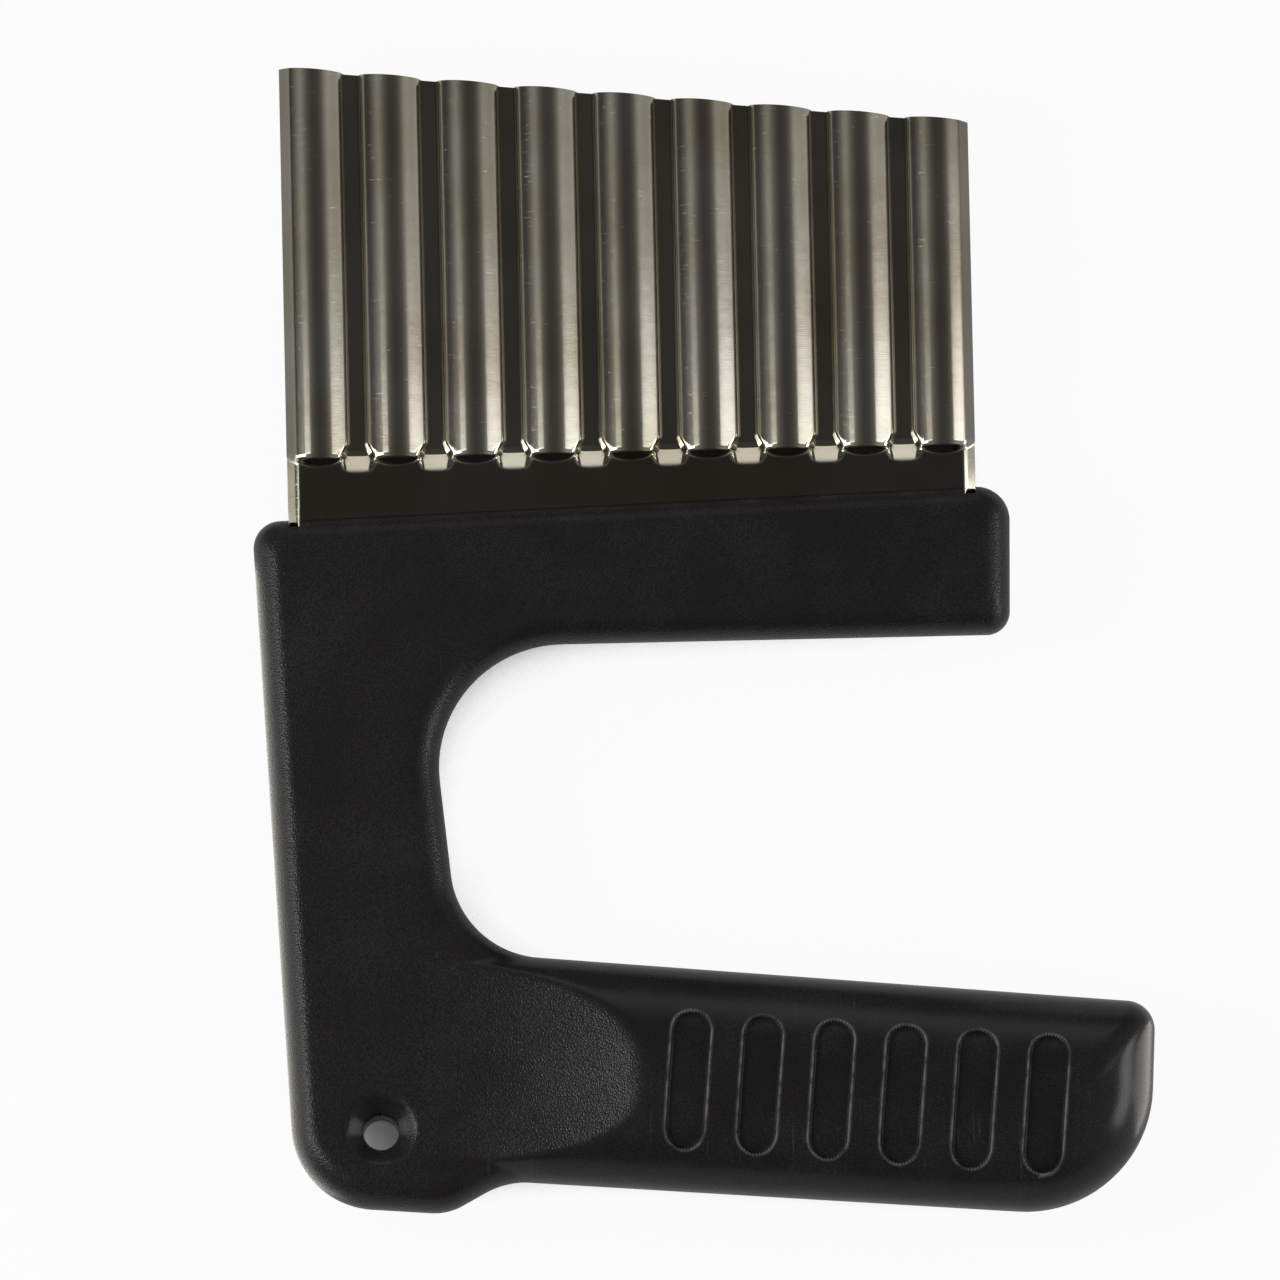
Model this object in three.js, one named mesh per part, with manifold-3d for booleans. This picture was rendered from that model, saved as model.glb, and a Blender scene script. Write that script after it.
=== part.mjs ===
// Crinkle cutter: a corrugated stainless blade moulded into a one-piece C-shaped handle.
// Millimetres, +Z up. The tool lies on its back, with the cutting edge towards +Y.
// Shapes are drawn from the blade's centre line (x = 0), the finger side of the bar (y = 0)
// and the parting plane of the moulding (z = 0), and the whole is set on the ground at the end.

import * as THREE from 'three';
import { mergeVertices } from 'three/addons/utils/BufferGeometryUtils.js';
import Module from 'manifold-3d';

const wasm = await Module();
wasm.setup();

// Blade: the corrugated sheet
const ridgeCount = 9;
const wavePitch = 10;
const waveDepth = 2.5; // from ridge to groove, at the middle of the sheet
const ridgeShare = 0.8; // a ridge's radius against ridge and groove radius together
const sheetThickness = 0.8;
const lipStart = 2.65; // from an end ridge's middle to the lip along the sheet's side
const lipWidth = 1.15;
const lipDepth = 1; // how far the lip's edge lies behind the tang

// Blade: heights, at the centre line
const bladeShow = 53.4; // cutting edge above the bar
const edgeSlant = 5.8; // degrees, the edge falls away from the stem
const bevelLength = 2.2; // ground on the back
const edgeThickness = 0.2;
const tangShow = 4.5; // flat tang between the bar and the run-out of the wave
const runOutLength = 3.3;
const ridgeLag = 1; // the ridges end this much higher up than the grooves
const grooveCurve = 1.25; // power of the curve along which a groove's floor runs up to the tang

// Blade: the tang inside the bar
const tangDepth = 11.5;
const lipSeat = 1.2; // how far the lips reach into the bar
const lockHoleCount = 4;
const lockHoleDiameter = 5;
const lockHoleSpacing = 22;
const lockHoleRise = 4.6; // from the tang's lower end
const mouldGap = 0.2; // between the blade and the moulding around it

// Handle: bar
const barHeight = 17.9; // at the centre line
const barSlope = 1.6; // degrees, the blade side rises towards the free end
const barMargin = 4.2; // past the blade at either side
const barEndLean = 1.2; // degrees

// Handle: stem
const stemWidth = 21; // at the bar
const stemOuterLean = 2.55; // degrees
const stemInnerLean = 5.45; // degrees
const fingerGap = 39.8; // from bar to grip along the stem

// Handle: grip and the foot below the stem
const gripLength = 88.7;
const gripHeight = 29.2; // at the stem
const gripDrop = 5.5; // degrees, the upper side falls away from the bar
const gripTaper = 0.8; // degrees, between the upper and the lower side
const gripEndLean = 3; // degrees
const footDepth = 4.75; // below the grip's lower side
const footStart = 5.35; // from the gap's lower corner to the foot's slope
const footSlope = 28.6; // degrees

// Handle: corner radii of the outline
const barCornerStem = 3.5;
const barCornerFree = 4.25;
const barCornerInner = 3;
const gapCornerBar = 16;
const gapCornerGrip = 12.25;
const gripCornerUpper = 3.75;
const gripCornerLower = 16.25;
const footBlend = 10.5;
const footRound = 7.5;
const footCorner = 11;

// Handle: sections
const stemThickness = 9.5;
const edgeRound = 3.4; // seen from the front, along every edge of bar and stem
const gripThickness = 20;
const crestWidth = 2.4; // flat strip along the top of the domed grip, at its free end
const crestOffset = 1.5; // below the middle of the grip
const gripEndRound = 9.5; // seen from the front, at the free end
const rampLength = 30; // cove from the flat stem up to the crest
const rampCrest = 22.7; // from the gap's lower corner to the ramp's upper end

// Handle: finger recesses and hanging hole
const recessCount = 6;
const recessPitch = 9.15;
const recessFirst = 29; // from the gap's lower corner
const recessWidth = 5.2;
const recessLength = 17.9;
const recessDepth = 0.7;
const recessOffset = 1.3; // below the middle of the grip
const holeThroat = 4.5; // diameter
const holeRim = 9; // diameter
const holeCurve = 1.5; // power of the flare from throat to rim
const holeFromEdge = 11.4; // from the stem's outer side
const holeFromFoot = 9.6;

// Fineness of the facets
const ridgeSteps = 8;
const grooveSteps = 6;
const runOutSteps = 6;
const cornerSteps = 8;
const edgeSteps = 4;
const domeSteps = 7;
const rampSteps = 10;
const holeSteps = 3;
const roundSides = 24;

// Outer corners don't tighten below this as an outline moves inwards
const leastCorner = 2.5;

// How far a cutting shape reaches past what it cuts, and how close two points count as one
const overcut = 2;
const weldDistance = 1e-4;

const degrees = THREE.MathUtils.degToRad;

// Sizes that follow from the ones above
const bladeWidth = (ridgeCount - 1) * wavePitch + 2 * (lipStart + lipWidth);
const tangWidth = bladeWidth - 2 * lipWidth;
const runOutFoot = barHeight + tangShow;
const tangFoot = barHeight - tangDepth;
const barHalf = bladeWidth / 2 + barMargin;
const stemHalf = stemThickness / 2;
const gripHalf = gripThickness / 2;
const gripNarrowing = Math.tan(degrees(gripDrop)) - Math.tan(degrees(gripDrop - gripTaper));
const gripTipHeight = (gripHeight - gripLength * gripNarrowing) * Math.cos(degrees(gripDrop));
const gripUpperRound = (gripTipHeight - crestWidth) / 2 + crestOffset;
const gripLowerRound = (gripTipHeight - crestWidth) / 2 - crestOffset;

function barTopAt(x) {
  return barHeight + x * Math.tan(degrees(barSlope));
}

function cuttingEdgeAt(x) {
  return barHeight + bladeShow - x * Math.tan(degrees(edgeSlant));
}

// Solids: a closed geometry becomes a solid for joining and cutting, and a solid a geometry again.

function solidOf(geometry) {
  const bare = geometry.clone();
  bare.deleteAttribute('normal');
  bare.deleteAttribute('uv');
  const merged = mergeVertices(bare, weldDistance);
  return new wasm.Manifold(new wasm.Mesh({
    numProp: 3,
    vertProperties: new Float32Array(merged.attributes.position.array),
    triVerts: new Uint32Array(merged.index.array),
  }));
}

function geometryOf(solid) {
  const mesh = solid.getMesh();
  const geometry = new THREE.BufferGeometry();
  geometry.setAttribute('position', new THREE.BufferAttribute(mesh.vertProperties, 3));
  geometry.setIndex(new THREE.BufferAttribute(mesh.triVerts, 1));
  geometry.computeVertexNormals();
  return geometry;
}

function indexedGeometry(points, triangles) {
  const geometry = new THREE.BufferGeometry().setFromPoints(points);
  geometry.setIndex(triangles.flat());
  return geometry;
}

function boxSolid(x0, x1, y0, y1, z0, z1) {
  const box = new THREE.BoxGeometry(x1 - x0, y1 - y0, z1 - z0);
  box.translate((x0 + x1) / 2, (y0 + y1) / 2, (z0 + z1) / 2);
  return solidOf(box);
}

function pinSolid(diameter, length, x, y) {
  const pin = new THREE.CylinderGeometry(diameter / 2, diameter / 2, length, roundSides);
  pin.rotateX(Math.PI / 2);
  pin.translate(x, y, 0);
  return solidOf(pin);
}

function joined(solids) {
  return solids.reduce((whole, solid) => whole.add(solid));
}

// Outlines: straight sides run anticlockwise round the material. A side meets the next one in a
// corner of radius corner, and its edge is rounded over a width of round, seen from the front.

function side(x, y, angle, corner, round = edgeRound) {
  const along = new THREE.Vector2(Math.cos(degrees(angle)), Math.sin(degrees(angle)));
  return { point: new THREE.Vector2(x, y), along, corner, round };
}

function meet(a, b) {
  const between = b.point.clone().sub(a.point);
  const travel = between.cross(b.along) / a.along.cross(b.along);
  return a.point.clone().addScaledVector(a.along, travel);
}

function inwards({ along }) {
  return new THREE.Vector2(-along.y, along.x);
}

function moved(s, inset) {
  return { ...s, point: s.point.clone().addScaledVector(inwards(s), inset) };
}

// Points of the outline after each side has moved inwards by a share of its rounding:
// outer corners tighten and inner corners widen with it.
function outlinePoints(sides, share) {
  const sunk = sides.map((s) => moved(s, s.round * share));
  const following = (i) => sunk[(i + 1) % sunk.length];
  const corners = sunk.map((s, i) => meet(s, following(i)));
  return corners.flatMap((corner, i) => {
    const s = sunk[i];
    const next = following(i);
    const turn = Math.atan2(s.along.cross(next.along), s.along.dot(next.along));
    const inset = share * (s.round + next.round) / 2;
    const tight = Math.max(s.corner - inset, Math.min(s.corner, leastCorner));
    const wanted = turn > 0 ? tight : s.corner + inset;
    const before = corner.distanceTo(corners.at(i - 1));
    const after = corner.distanceTo(corners[(i + 1) % corners.length]);
    const half = Math.tan(Math.abs(turn) / 2);
    const tangent = Math.min(wanted * half, before / 2, after / 2);
    const start = corner.clone().addScaledVector(s.along, -tangent);
    const centre = start.clone().addScaledVector(inwards(s), Math.sign(turn) * tangent / half);
    return Array.from({ length: cornerSteps + 1 }, (_, step) =>
      start.clone().rotateAround(centre, turn * step / cornerSteps));
  });
}

// A body with flat faces and elliptical edges, the same on both sides of the parting plane.
function cushionSolid(sides, halfThickness, steps) {
  const points = [];
  const triangles = [];
  const rings = [];
  for (let step = -steps; step <= steps; step += 1) {
    const lift = Math.PI / 2 * step / steps;
    const outline = outlinePoints(sides, 1 - Math.cos(lift));
    const height = halfThickness * Math.sin(lift);
    rings.push(outline.map((p) => points.push(new THREE.Vector3(p.x, p.y, height)) - 1));
  }
  for (let r = 0; r + 1 < rings.length; r += 1) {
    rings[r].forEach((a, i) => {
      const b = rings[r][(i + 1) % rings[r].length];
      const c = rings[r + 1][(i + 1) % rings[r].length];
      const d = rings[r + 1][i];
      triangles.push([a, b, c], [a, c, d]);
    });
  }
  const cap = (ring) => THREE.ShapeUtils.triangulateShape(
    ring.map((i) => new THREE.Vector2(points[i].x, points[i].y)), []);
  const back = rings[0];
  const front = rings.at(-1);
  cap(back).forEach(([a, b, c]) => triangles.push([back[a], back[c], back[b]]));
  cap(front).forEach(([a, b, c]) => triangles.push([front[a], front[b], front[c]]));
  return solidOf(indexedGeometry(points, triangles));
}

// Blade

// The wave's two arcs touch where ridge turns into groove, so their radii follow from pitch and depth.
function waveArcs() {
  const radii = ((wavePitch / 2) ** 2 + waveDepth ** 2) / (2 * waveDepth);
  return {
    ridge: radii * ridgeShare,
    groove: radii * (1 - ridgeShare),
    flank: Math.asin(wavePitch / 2 / radii),
  };
}

// Points of the sheet's middle across the blade, from lip to lip.
function waveSection() {
  const { ridge, groove, flank } = waveArcs();
  const lipAngle = Math.asin(lipStart / ridge);
  const section = [new THREE.Vector2(-bladeWidth / 2, -lipDepth)];
  for (let k = 0; k < ridgeCount; k += 1) {
    const middle = (k - (ridgeCount - 1) / 2) * wavePitch;
    const from = k === 0 ? -lipAngle : -flank;
    const to = k === ridgeCount - 1 ? lipAngle : flank;
    for (let step = 0; step <= ridgeSteps; step += 1) {
      const a = from + (to - from) * step / ridgeSteps;
      const x = middle + ridge * Math.sin(a);
      section.push(new THREE.Vector2(x, waveDepth / 2 - ridge * (1 - Math.cos(a))));
    }
    for (let step = 1; step < grooveSteps && k < ridgeCount - 1; step += 1) {
      const a = flank * (2 * step / grooveSteps - 1);
      const x = middle + wavePitch / 2 + groove * Math.sin(a);
      section.push(new THREE.Vector2(x, groove * (1 - Math.cos(a)) - waveDepth / 2));
    }
  }
  section.push(new THREE.Vector2(bladeWidth / 2, -lipDepth));
  return section;
}

// Cross rows of the sheet from the tang up to the edge: the height of each, how far ridges and grooves
// may stand out of the tang's plane there, and how far its back lies from the middle of the sheet.
// A ridge ends in an S-curve, and a groove's floor runs up to the tang like a spoon's end.
function bladeRows() {
  const behind = -sheetThickness / 2;
  const crest = waveDepth / 2;
  const rows = [
    { heightAt: () => tangFoot, ridge: 0, groove: 0, back: behind },
    { heightAt: () => runOutFoot, ridge: 0, groove: 0, back: behind },
  ];
  for (let step = 1; step <= runOutSteps; step += 1) {
    const travel = runOutLength * step / runOutSteps;
    const ridgeTravel = Math.max(travel - ridgeLag, 0) / (runOutLength - ridgeLag);
    rows.push({
      heightAt: () => runOutFoot + travel,
      ridge: crest * (1 - Math.cos(Math.PI * ridgeTravel)) / 2,
      groove: crest * (travel / runOutLength) ** grooveCurve,
      back: behind,
    });
  }
  const ground = sheetThickness / 2 - edgeThickness;
  rows.push({ heightAt: (x) => cuttingEdgeAt(x) - bevelLength, ridge: crest, groove: crest, back: behind });
  rows.push({ heightAt: cuttingEdgeAt, ridge: crest, groove: crest, back: ground });
  return rows;
}

// The sheet: rows of points on its middle, moved half a thickness to the front and to the back.
function sheetSolid() {
  const section = waveSection();
  const rows = bladeRows();
  const last = section.length - 1;
  const middle = rows.map(({ heightAt, ridge, groove }) => section.map(({ x, y }, i) => {
    const onLip = i === 0 || i === last;
    const depth = onLip ? y : THREE.MathUtils.clamp(y, -groove, ridge);
    return new THREE.Vector3(x, heightAt(x), depth);
  }));
  const normalAt = (r, i) => {
    const above = middle[Math.min(r + 1, rows.length - 1)][i];
    const below = middle[Math.max(r - 1, 0)][i];
    const right = middle[r][Math.min(i + 1, last)];
    const left = middle[r][Math.max(i - 1, 0)];
    const across = new THREE.Vector3().subVectors(right, left);
    const along = new THREE.Vector3().subVectors(above, below);
    return across.cross(along).normalize();
  };
  const points = [];
  const offsetRows = (offsetAt) => middle.map((row, r) => row.map((p, i) =>
    points.push(p.clone().addScaledVector(normalAt(r, i), offsetAt(r))) - 1));
  const front = offsetRows(() => sheetThickness / 2);
  const back = offsetRows((r) => rows[r].back);
  const triangles = [];
  const quad = (a, b, c, d) => triangles.push([a, b, c], [a, c, d]);
  for (let r = 0; r + 1 < rows.length; r += 1) {
    for (let i = 0; i < last; i += 1) {
      quad(front[r][i], front[r][i + 1], front[r + 1][i + 1], front[r + 1][i]);
      quad(back[r][i + 1], back[r][i], back[r + 1][i], back[r + 1][i + 1]);
    }
    quad(back[r][0], front[r][0], front[r + 1][0], back[r + 1][0]);
    quad(front[r][last], back[r][last], back[r + 1][last], front[r + 1][last]);
  }
  const top = rows.length - 1;
  for (let i = 0; i < last; i += 1) {
    quad(back[0][i], back[0][i + 1], front[0][i + 1], front[0][i]);
    quad(front[top][i], front[top][i + 1], back[top][i + 1], back[top][i]);
  }
  return solidOf(indexedGeometry(points, triangles));
}

function lockPins(diameter, length) {
  return Array.from({ length: lockHoleCount }, (_, k) => {
    const x = (k - (lockHoleCount - 1) / 2) * lockHoleSpacing;
    return pinSolid(diameter, length, x, tangFoot + lockHoleRise);
  });
}

// Below its seat in the bar the sheet is narrower, so the lips stop there.
function shoulderCuts() {
  const reach = lipDepth + sheetThickness + overcut;
  return [-1, 1].map((hand) => {
    const inner = hand * tangWidth / 2;
    const outer = hand * (bladeWidth / 2 + overcut);
    const seat = barTopAt(hand * bladeWidth / 2) - lipSeat;
    const [left, right] = [inner, outer].sort((a, b) => a - b);
    return boxSolid(left, right, tangFoot - overcut, seat, -reach, reach);
  });
}

function bladeSolid() {
  const holes = lockPins(lockHoleDiameter, sheetThickness + overcut);
  return sheetSolid().subtract(joined([...holes, ...shoulderCuts()]));
}

// Handle

const stemOuter = side(-barHalf, 0, 270 + stemOuterLean, footCorner);
const stemInner = side(-barHalf + stemWidth, 0, 90 + stemInnerLean, gapCornerBar);
const barInner = side(0, 0, 0, barCornerInner);
const barEnd = side(barHalf, 0, 90 - barEndLean, barCornerFree);
const barTop = side(0, barHeight, 180 + barSlope, barCornerStem);

// The corner between stem and grip, where the gap's two sides would meet.
const gapCorner = meet(stemInner, side(0, -fingerGap, 0));
const gripUpper = side(gapCorner.x, gapCorner.y, 180 - gripDrop, gapCornerGrip);
const gripTip = meet(gripUpper, side(gapCorner.x + gripLength, 0, 90));
const gripEnd = side(gripTip.x, gripTip.y, 90 - gripEndLean, gripCornerUpper);
const gripLower = side(gapCorner.x, gapCorner.y - gripHeight, gripTaper - gripDrop, gripCornerLower);
const footTop = meet(gripLower, side(gapCorner.x + footStart, 0, 90));
const footSide = side(footTop.x, footTop.y, footSlope, footBlend);
const footBottom = side(gapCorner.x, gapCorner.y - gripHeight - footDepth, gripTaper - gripDrop, footRound);

// The middle of the grip at a distance from the gap's lower corner, and the way along it.
const gripAxis = side(0, 0, gripTaper / 2 - gripDrop).along;
const gripRoot = new THREE.Vector2(gapCorner.x, gapCorner.y - gripHeight / 2);

const handleSides = [
  stemOuter, footBottom, footSide, gripLower, gripEnd, gripUpper, stemInner, barInner, barEnd, barTop,
];

// The dome's sides end inside the stem, below the ramp.
const rampStart = gapCorner.x + rampCrest - rampLength;
const gripSides = [
  { ...gripLower, round: gripLowerRound },
  { ...gripEnd, round: gripEndRound },
  { ...gripUpper, round: gripUpperRound, corner: gripCornerUpper },
  side(rampStart - edgeRound, 0, 270, gripCornerUpper, 0),
];

// Everything under the ramp: a cove rises from the stem's face to the crest, the same on both faces.
function rampSolid() {
  const rise = gripHalf - stemHalf;
  const radius = (rampLength ** 2 + rise ** 2) / (2 * rise);
  const sweep = Math.asin(rampLength / radius);
  const far = gapCorner.x + gripLength + overcut;
  const steepEnd = gapCorner.x + rampCrest + overcut;
  const upper = Array.from({ length: rampSteps + 1 }, (_, step) => {
    const a = sweep * step / rampSteps;
    return new THREE.Vector2(rampStart + radius * Math.sin(a), stemHalf + radius * (1 - Math.cos(a)));
  });
  upper.push(new THREE.Vector2(steepEnd, gripHalf + overcut * Math.tan(sweep)));
  upper.push(new THREE.Vector2(far, gripHalf + overcut * Math.tan(sweep)));
  const lower = upper.map(({ x, y }) => new THREE.Vector2(x, -y)).reverse();
  const depth = 2 * (fingerGap + gripHeight);
  const section = new THREE.Shape([...upper, ...lower]);
  const ramp = new THREE.ExtrudeGeometry(section, { depth, bevelEnabled: false });
  ramp.rotateX(Math.PI / 2);
  ramp.translate(0, gapCorner.y - gripHeight / 2 + depth / 2, 0);
  return solidOf(ramp);
}

// Recesses with round ends, sunk by an even depth into the dome on both faces.
function recessCuts() {
  const round = recessWidth / 2;
  const straight = (recessLength - recessWidth) / 2;
  const slot = new THREE.Shape();
  slot.absarc(0, straight, round, 0, Math.PI, false);
  slot.absarc(0, -straight, round, Math.PI, 2 * Math.PI, false);
  const depth = gripThickness + 2 * overcut;
  const cuts = Array.from({ length: recessCount }, (_, k) => {
    const along = recessFirst + k * recessPitch;
    const cut = new THREE.ExtrudeGeometry(slot, { depth, bevelEnabled: false, curveSegments: cornerSteps });
    const place = gripRoot.clone().addScaledVector(gripAxis, along);
    place.add(new THREE.Vector2(gripAxis.y, -gripAxis.x).multiplyScalar(recessOffset));
    cut.rotateZ(gripAxis.angle());
    cut.translate(place.x, place.y, -depth / 2);
    return solidOf(cut);
  });
  const floorSides = gripSides.map((s) => ({
    ...moved(s, recessDepth),
    round: Math.max(s.round - recessDepth, 0),
  }));
  return joined(cuts).subtract(cushionSolid(floorSides, gripHalf - recessDepth, domeSteps));
}

// A hanging hole that narrows from both faces to a throat in the middle.
function hangingHole() {
  const outer = stemHalf + overcut;
  const flare = (holeRim - holeThroat) / 2;
  const radiusAt = (z) => holeThroat / 2 + flare * (Math.abs(z) / stemHalf) ** holeCurve;
  const profile = [new THREE.Vector2(0, -outer), new THREE.Vector2(radiusAt(outer), -outer)];
  for (let step = -holeSteps; step <= holeSteps; step += 1) {
    const z = stemHalf * step / holeSteps;
    profile.push(new THREE.Vector2(radiusAt(z), z));
  }
  profile.push(new THREE.Vector2(radiusAt(outer), outer), new THREE.Vector2(0, outer));
  const hole = new THREE.LatheGeometry(profile, roundSides);
  hole.rotateX(Math.PI / 2);
  const middle = meet(moved(stemOuter, holeFromEdge), moved(footBottom, holeFromFoot));
  hole.translate(middle.x, middle.y, 0);
  return solidOf(hole);
}

// The tang's pocket, with posts left standing in it, and a notch for the lip at either end.
function pocketCuts() {
  const wide = tangWidth / 2 + mouldGap;
  const thick = sheetThickness / 2 + mouldGap;
  const above = barHeight + tangShow;
  const pocket = boxSolid(-wide, wide, tangFoot - mouldGap, above, -thick, thick);
  const posts = lockPins(lockHoleDiameter - 2 * mouldGap, sheetThickness + overcut);
  const notches = [-1, 1].map((hand) => {
    const inner = hand * (tangWidth / 2 - mouldGap);
    const outer = hand * (bladeWidth / 2 + mouldGap);
    const seat = barTopAt(hand * bladeWidth / 2) - lipSeat - mouldGap;
    const behind = lipDepth + thick;
    const [left, right] = [inner, outer].sort((a, b) => a - b);
    return boxSolid(left, right, seat, above, -behind, stemThickness);
  });
  return joined([pocket.subtract(joined(posts)), ...notches]);
}

function handleSolid() {
  const plate = cushionSolid(handleSides, stemHalf, edgeSteps);
  const grip = cushionSolid(gripSides, gripHalf, domeSteps).intersect(rampSolid());
  return plate.add(grip).subtract(joined([recessCuts(), hangingHole(), pocketCuts()]));
}

// The tool

function piece(name, solid, material) {
  const mesh = new THREE.Mesh(geometryOf(solid), new THREE.MeshStandardMaterial(material));
  mesh.name = name;
  return mesh;
}

const tool = new THREE.Group();
tool.add(piece('blade', bladeSolid(), { color: 0x9a968a, roughness: 0.25, metalness: 1 }));
tool.add(piece('handle', handleSolid(), { color: 0x211f20, roughness: 0.55, metalness: 0 }));

// The ground lies under the grip, and the origin in the middle of the tool's footprint.
const extent = new THREE.Box3().setFromObject(tool, true);
tool.position.set(
  -(extent.min.x + extent.max.x) / 2,
  -(extent.min.y + extent.max.y) / 2,
  -extent.min.z);

export default tool;
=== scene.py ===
# Crinkle cutter: a corrugated steel blade and a moulded C-shaped handle, dressed on their CAD frame.
import cmath
import math
from collections import namedtuple
from functools import partial

import bmesh
import bpy
import numpy as np
from mathutils import Matrix, Vector
from mathutils.geometry import delaunay_2d_cdt


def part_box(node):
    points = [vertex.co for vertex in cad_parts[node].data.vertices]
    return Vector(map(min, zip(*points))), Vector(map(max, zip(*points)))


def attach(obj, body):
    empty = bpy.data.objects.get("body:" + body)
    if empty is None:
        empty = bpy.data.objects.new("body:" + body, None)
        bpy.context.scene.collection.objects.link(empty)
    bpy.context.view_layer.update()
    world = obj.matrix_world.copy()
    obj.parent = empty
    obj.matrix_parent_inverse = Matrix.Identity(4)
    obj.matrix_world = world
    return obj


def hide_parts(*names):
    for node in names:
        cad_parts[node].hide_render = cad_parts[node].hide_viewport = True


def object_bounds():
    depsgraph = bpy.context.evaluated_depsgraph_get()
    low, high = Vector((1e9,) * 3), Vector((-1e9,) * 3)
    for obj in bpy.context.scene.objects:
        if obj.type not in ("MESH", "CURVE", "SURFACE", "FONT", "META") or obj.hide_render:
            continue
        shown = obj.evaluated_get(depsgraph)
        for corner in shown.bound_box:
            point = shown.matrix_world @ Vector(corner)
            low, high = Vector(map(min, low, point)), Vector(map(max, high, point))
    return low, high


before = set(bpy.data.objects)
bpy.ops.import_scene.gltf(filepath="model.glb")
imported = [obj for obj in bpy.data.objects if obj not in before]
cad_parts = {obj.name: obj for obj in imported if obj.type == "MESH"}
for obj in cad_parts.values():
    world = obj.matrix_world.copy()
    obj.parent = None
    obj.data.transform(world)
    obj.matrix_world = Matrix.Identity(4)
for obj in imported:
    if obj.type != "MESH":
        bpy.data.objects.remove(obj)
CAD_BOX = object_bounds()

bl_info = {
    "name": "Crinkle cutter",
    "version": (1, 0, 0),
    "blender": (4, 5, 0),
    "location": "3D View > Sidebar > Crinkle cutter",
    "description": "Builds a crinkle cutter's blade and handle and the stage that it is photographed on",
    "category": "Add Mesh",
}

MM = 0.001
BODY = "root"

# Kinds of node that are used often
MATHS, VECTOR_MATHS, SPAN, MIX = "ShaderNodeMath", "ShaderNodeVectorMath", "ShaderNodeMapRange", "ShaderNodeMix"
NOISE, BUMP, ATTRIBUTE = "ShaderNodeTexNoise", "ShaderNodeBump", "ShaderNodeAttribute"
STORE, PLACE = "GeometryNodeStoreNamedAttribute", "GeometryNodeSetPosition"
SOCKETS = {int: "NodeSocketInt", float: "NodeSocketFloat", Vector: "NodeSocketVector"}

# Fineness of the visible meshes
COLUMNS_PER_RIDGE = 60
TANG_ROWS, RUN_OUT_ROWS, STRAIGHT_ROWS, BEVEL_ROWS = 4, 38, 22, 4
LIP_COLUMNS = 6
# Columns are shared out, from a ridge's middle, over the ridge, the groove's wall and the groove's floor
RIDGE_SHARE, WALL_SHARE = 0.18, 0.27
WALL_ZONE, WALL_REACH = 0.6 * MM, 0.9 * MM
CORNER_STEPS = 20
EDGE_RINGS = 12
HOLE_RINGS = 10
HOLE_SIDES = 72
OUTLINE_STEP = 1.1 * MM
GRIP_STEP = 0.55 * MM
FLAT_STEP = 1.7 * MM
RECESS_STEP, RECESS_LEAST_STEPS = 0.4 * MM, 6
DOME_HALVINGS = 36
# Points closer than this are one: in the blade's tree, in a finished mesh and in the handle's flat face
TREE_DOUBLES, MESH_DOUBLES, FACE_DOUBLES = 0.001 * MM, 0.0005 * MM, 1e-9
SHARP_ANGLE = math.radians(40)

# Small forms that mould and press leave, too small to be settings.
# Outer corners of the outline don't tighten below this as it moves inwards, as in the CAD solid
LEAST_CORNER = 2.5 * MM
RAMP_EDGE = 0.5 * MM
END_ROUND = 0.4 * MM
# A groove starts to flare this far above its run-out, and is wide this far below its start
FLARE_LEAD, FLARE_REACH = 1.2 * MM, 2.2 * MM
# A groove's end is rounded in plan like an ellipse of this power
MOUTH_POWER = 3.2
HOLE_EDGE, HOLE_WALL = 0.35 * MM, 0.02 * MM
# Rows of points past the hole's rim, in widths of its rounded edge
HOLE_EDGE_ROWS = 0.5, 1.2, 2.5
RECESS_WALL = 0.4 * MM
# Distances inside a recess's rim at which its wall gets a row of points
RECESS_ROWS = [d * MM for d in (-0.35, -0.12, 0.0, 0.1, 0.2, 0.3, 0.42, 0.65)]

# Dull film and painted shade on the blade: its clear distance from a groove's end, and how thick it is in a groove,
# in the groove's corners, on the tang and on a lip, where it darkens the steel in place of shade and dark reflections
CLEAN_END = 0.3 * MM
GROOVE_FILM_AND_PAINTED_SHADE, CORNER_FILM_AND_PAINTED_SHADE, TANG_FILM_AND_PAINTED_SHADE, LIP_FILM_AND_PAINTED_SHADE = 0.4, 0.75, 0.66, 0.6
# Heights on a groove's wall, in halves of the depth, where the film and painted shade starts, is thickest and thins
# again
FILM_AND_PAINTED_SHADE_START, FILM_AND_PAINTED_SHADE_THICKEST, FILM_AND_PAINTED_SHADE_THINNER = -0.1, -0.5, -0.97
# The painted shade of the tang's film fades as the sheet leaves its plane by these heights, and over the rest of the
# run-out
FILM_AND_PAINTED_SHADE_LIFT = 0.02 * MM, 0.15 * MM
FILM_AND_PAINTED_SHADE_FADE = 1.5

# Steel: sizes of its marks, the noise levels between which they show, their bumps, and its roughness
PATCH, PATCH_NOISE, PATCH_MOST = 14 * MM, (0.42, 0.7), 0.7
SCRATCH_LENGTH, SCRATCH_WIDTH, SCRATCH_NOISE = 1.8 * MM, 0.13 * MM, (0.62, 0.76)
DIMPLE = 2.2 * MM
SCRATCH_BUMP = {"Strength": 0.14, "Distance": 0.01 * MM}
DIMPLE_BUMP = {"Strength": 0.25, "Distance": 0.02 * MM}
STEEL_ROUGHNESS, SCRATCH_ROUGHNESS, FILM_ROUGHNESS = 0.12, 0.28, 0.18

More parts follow.
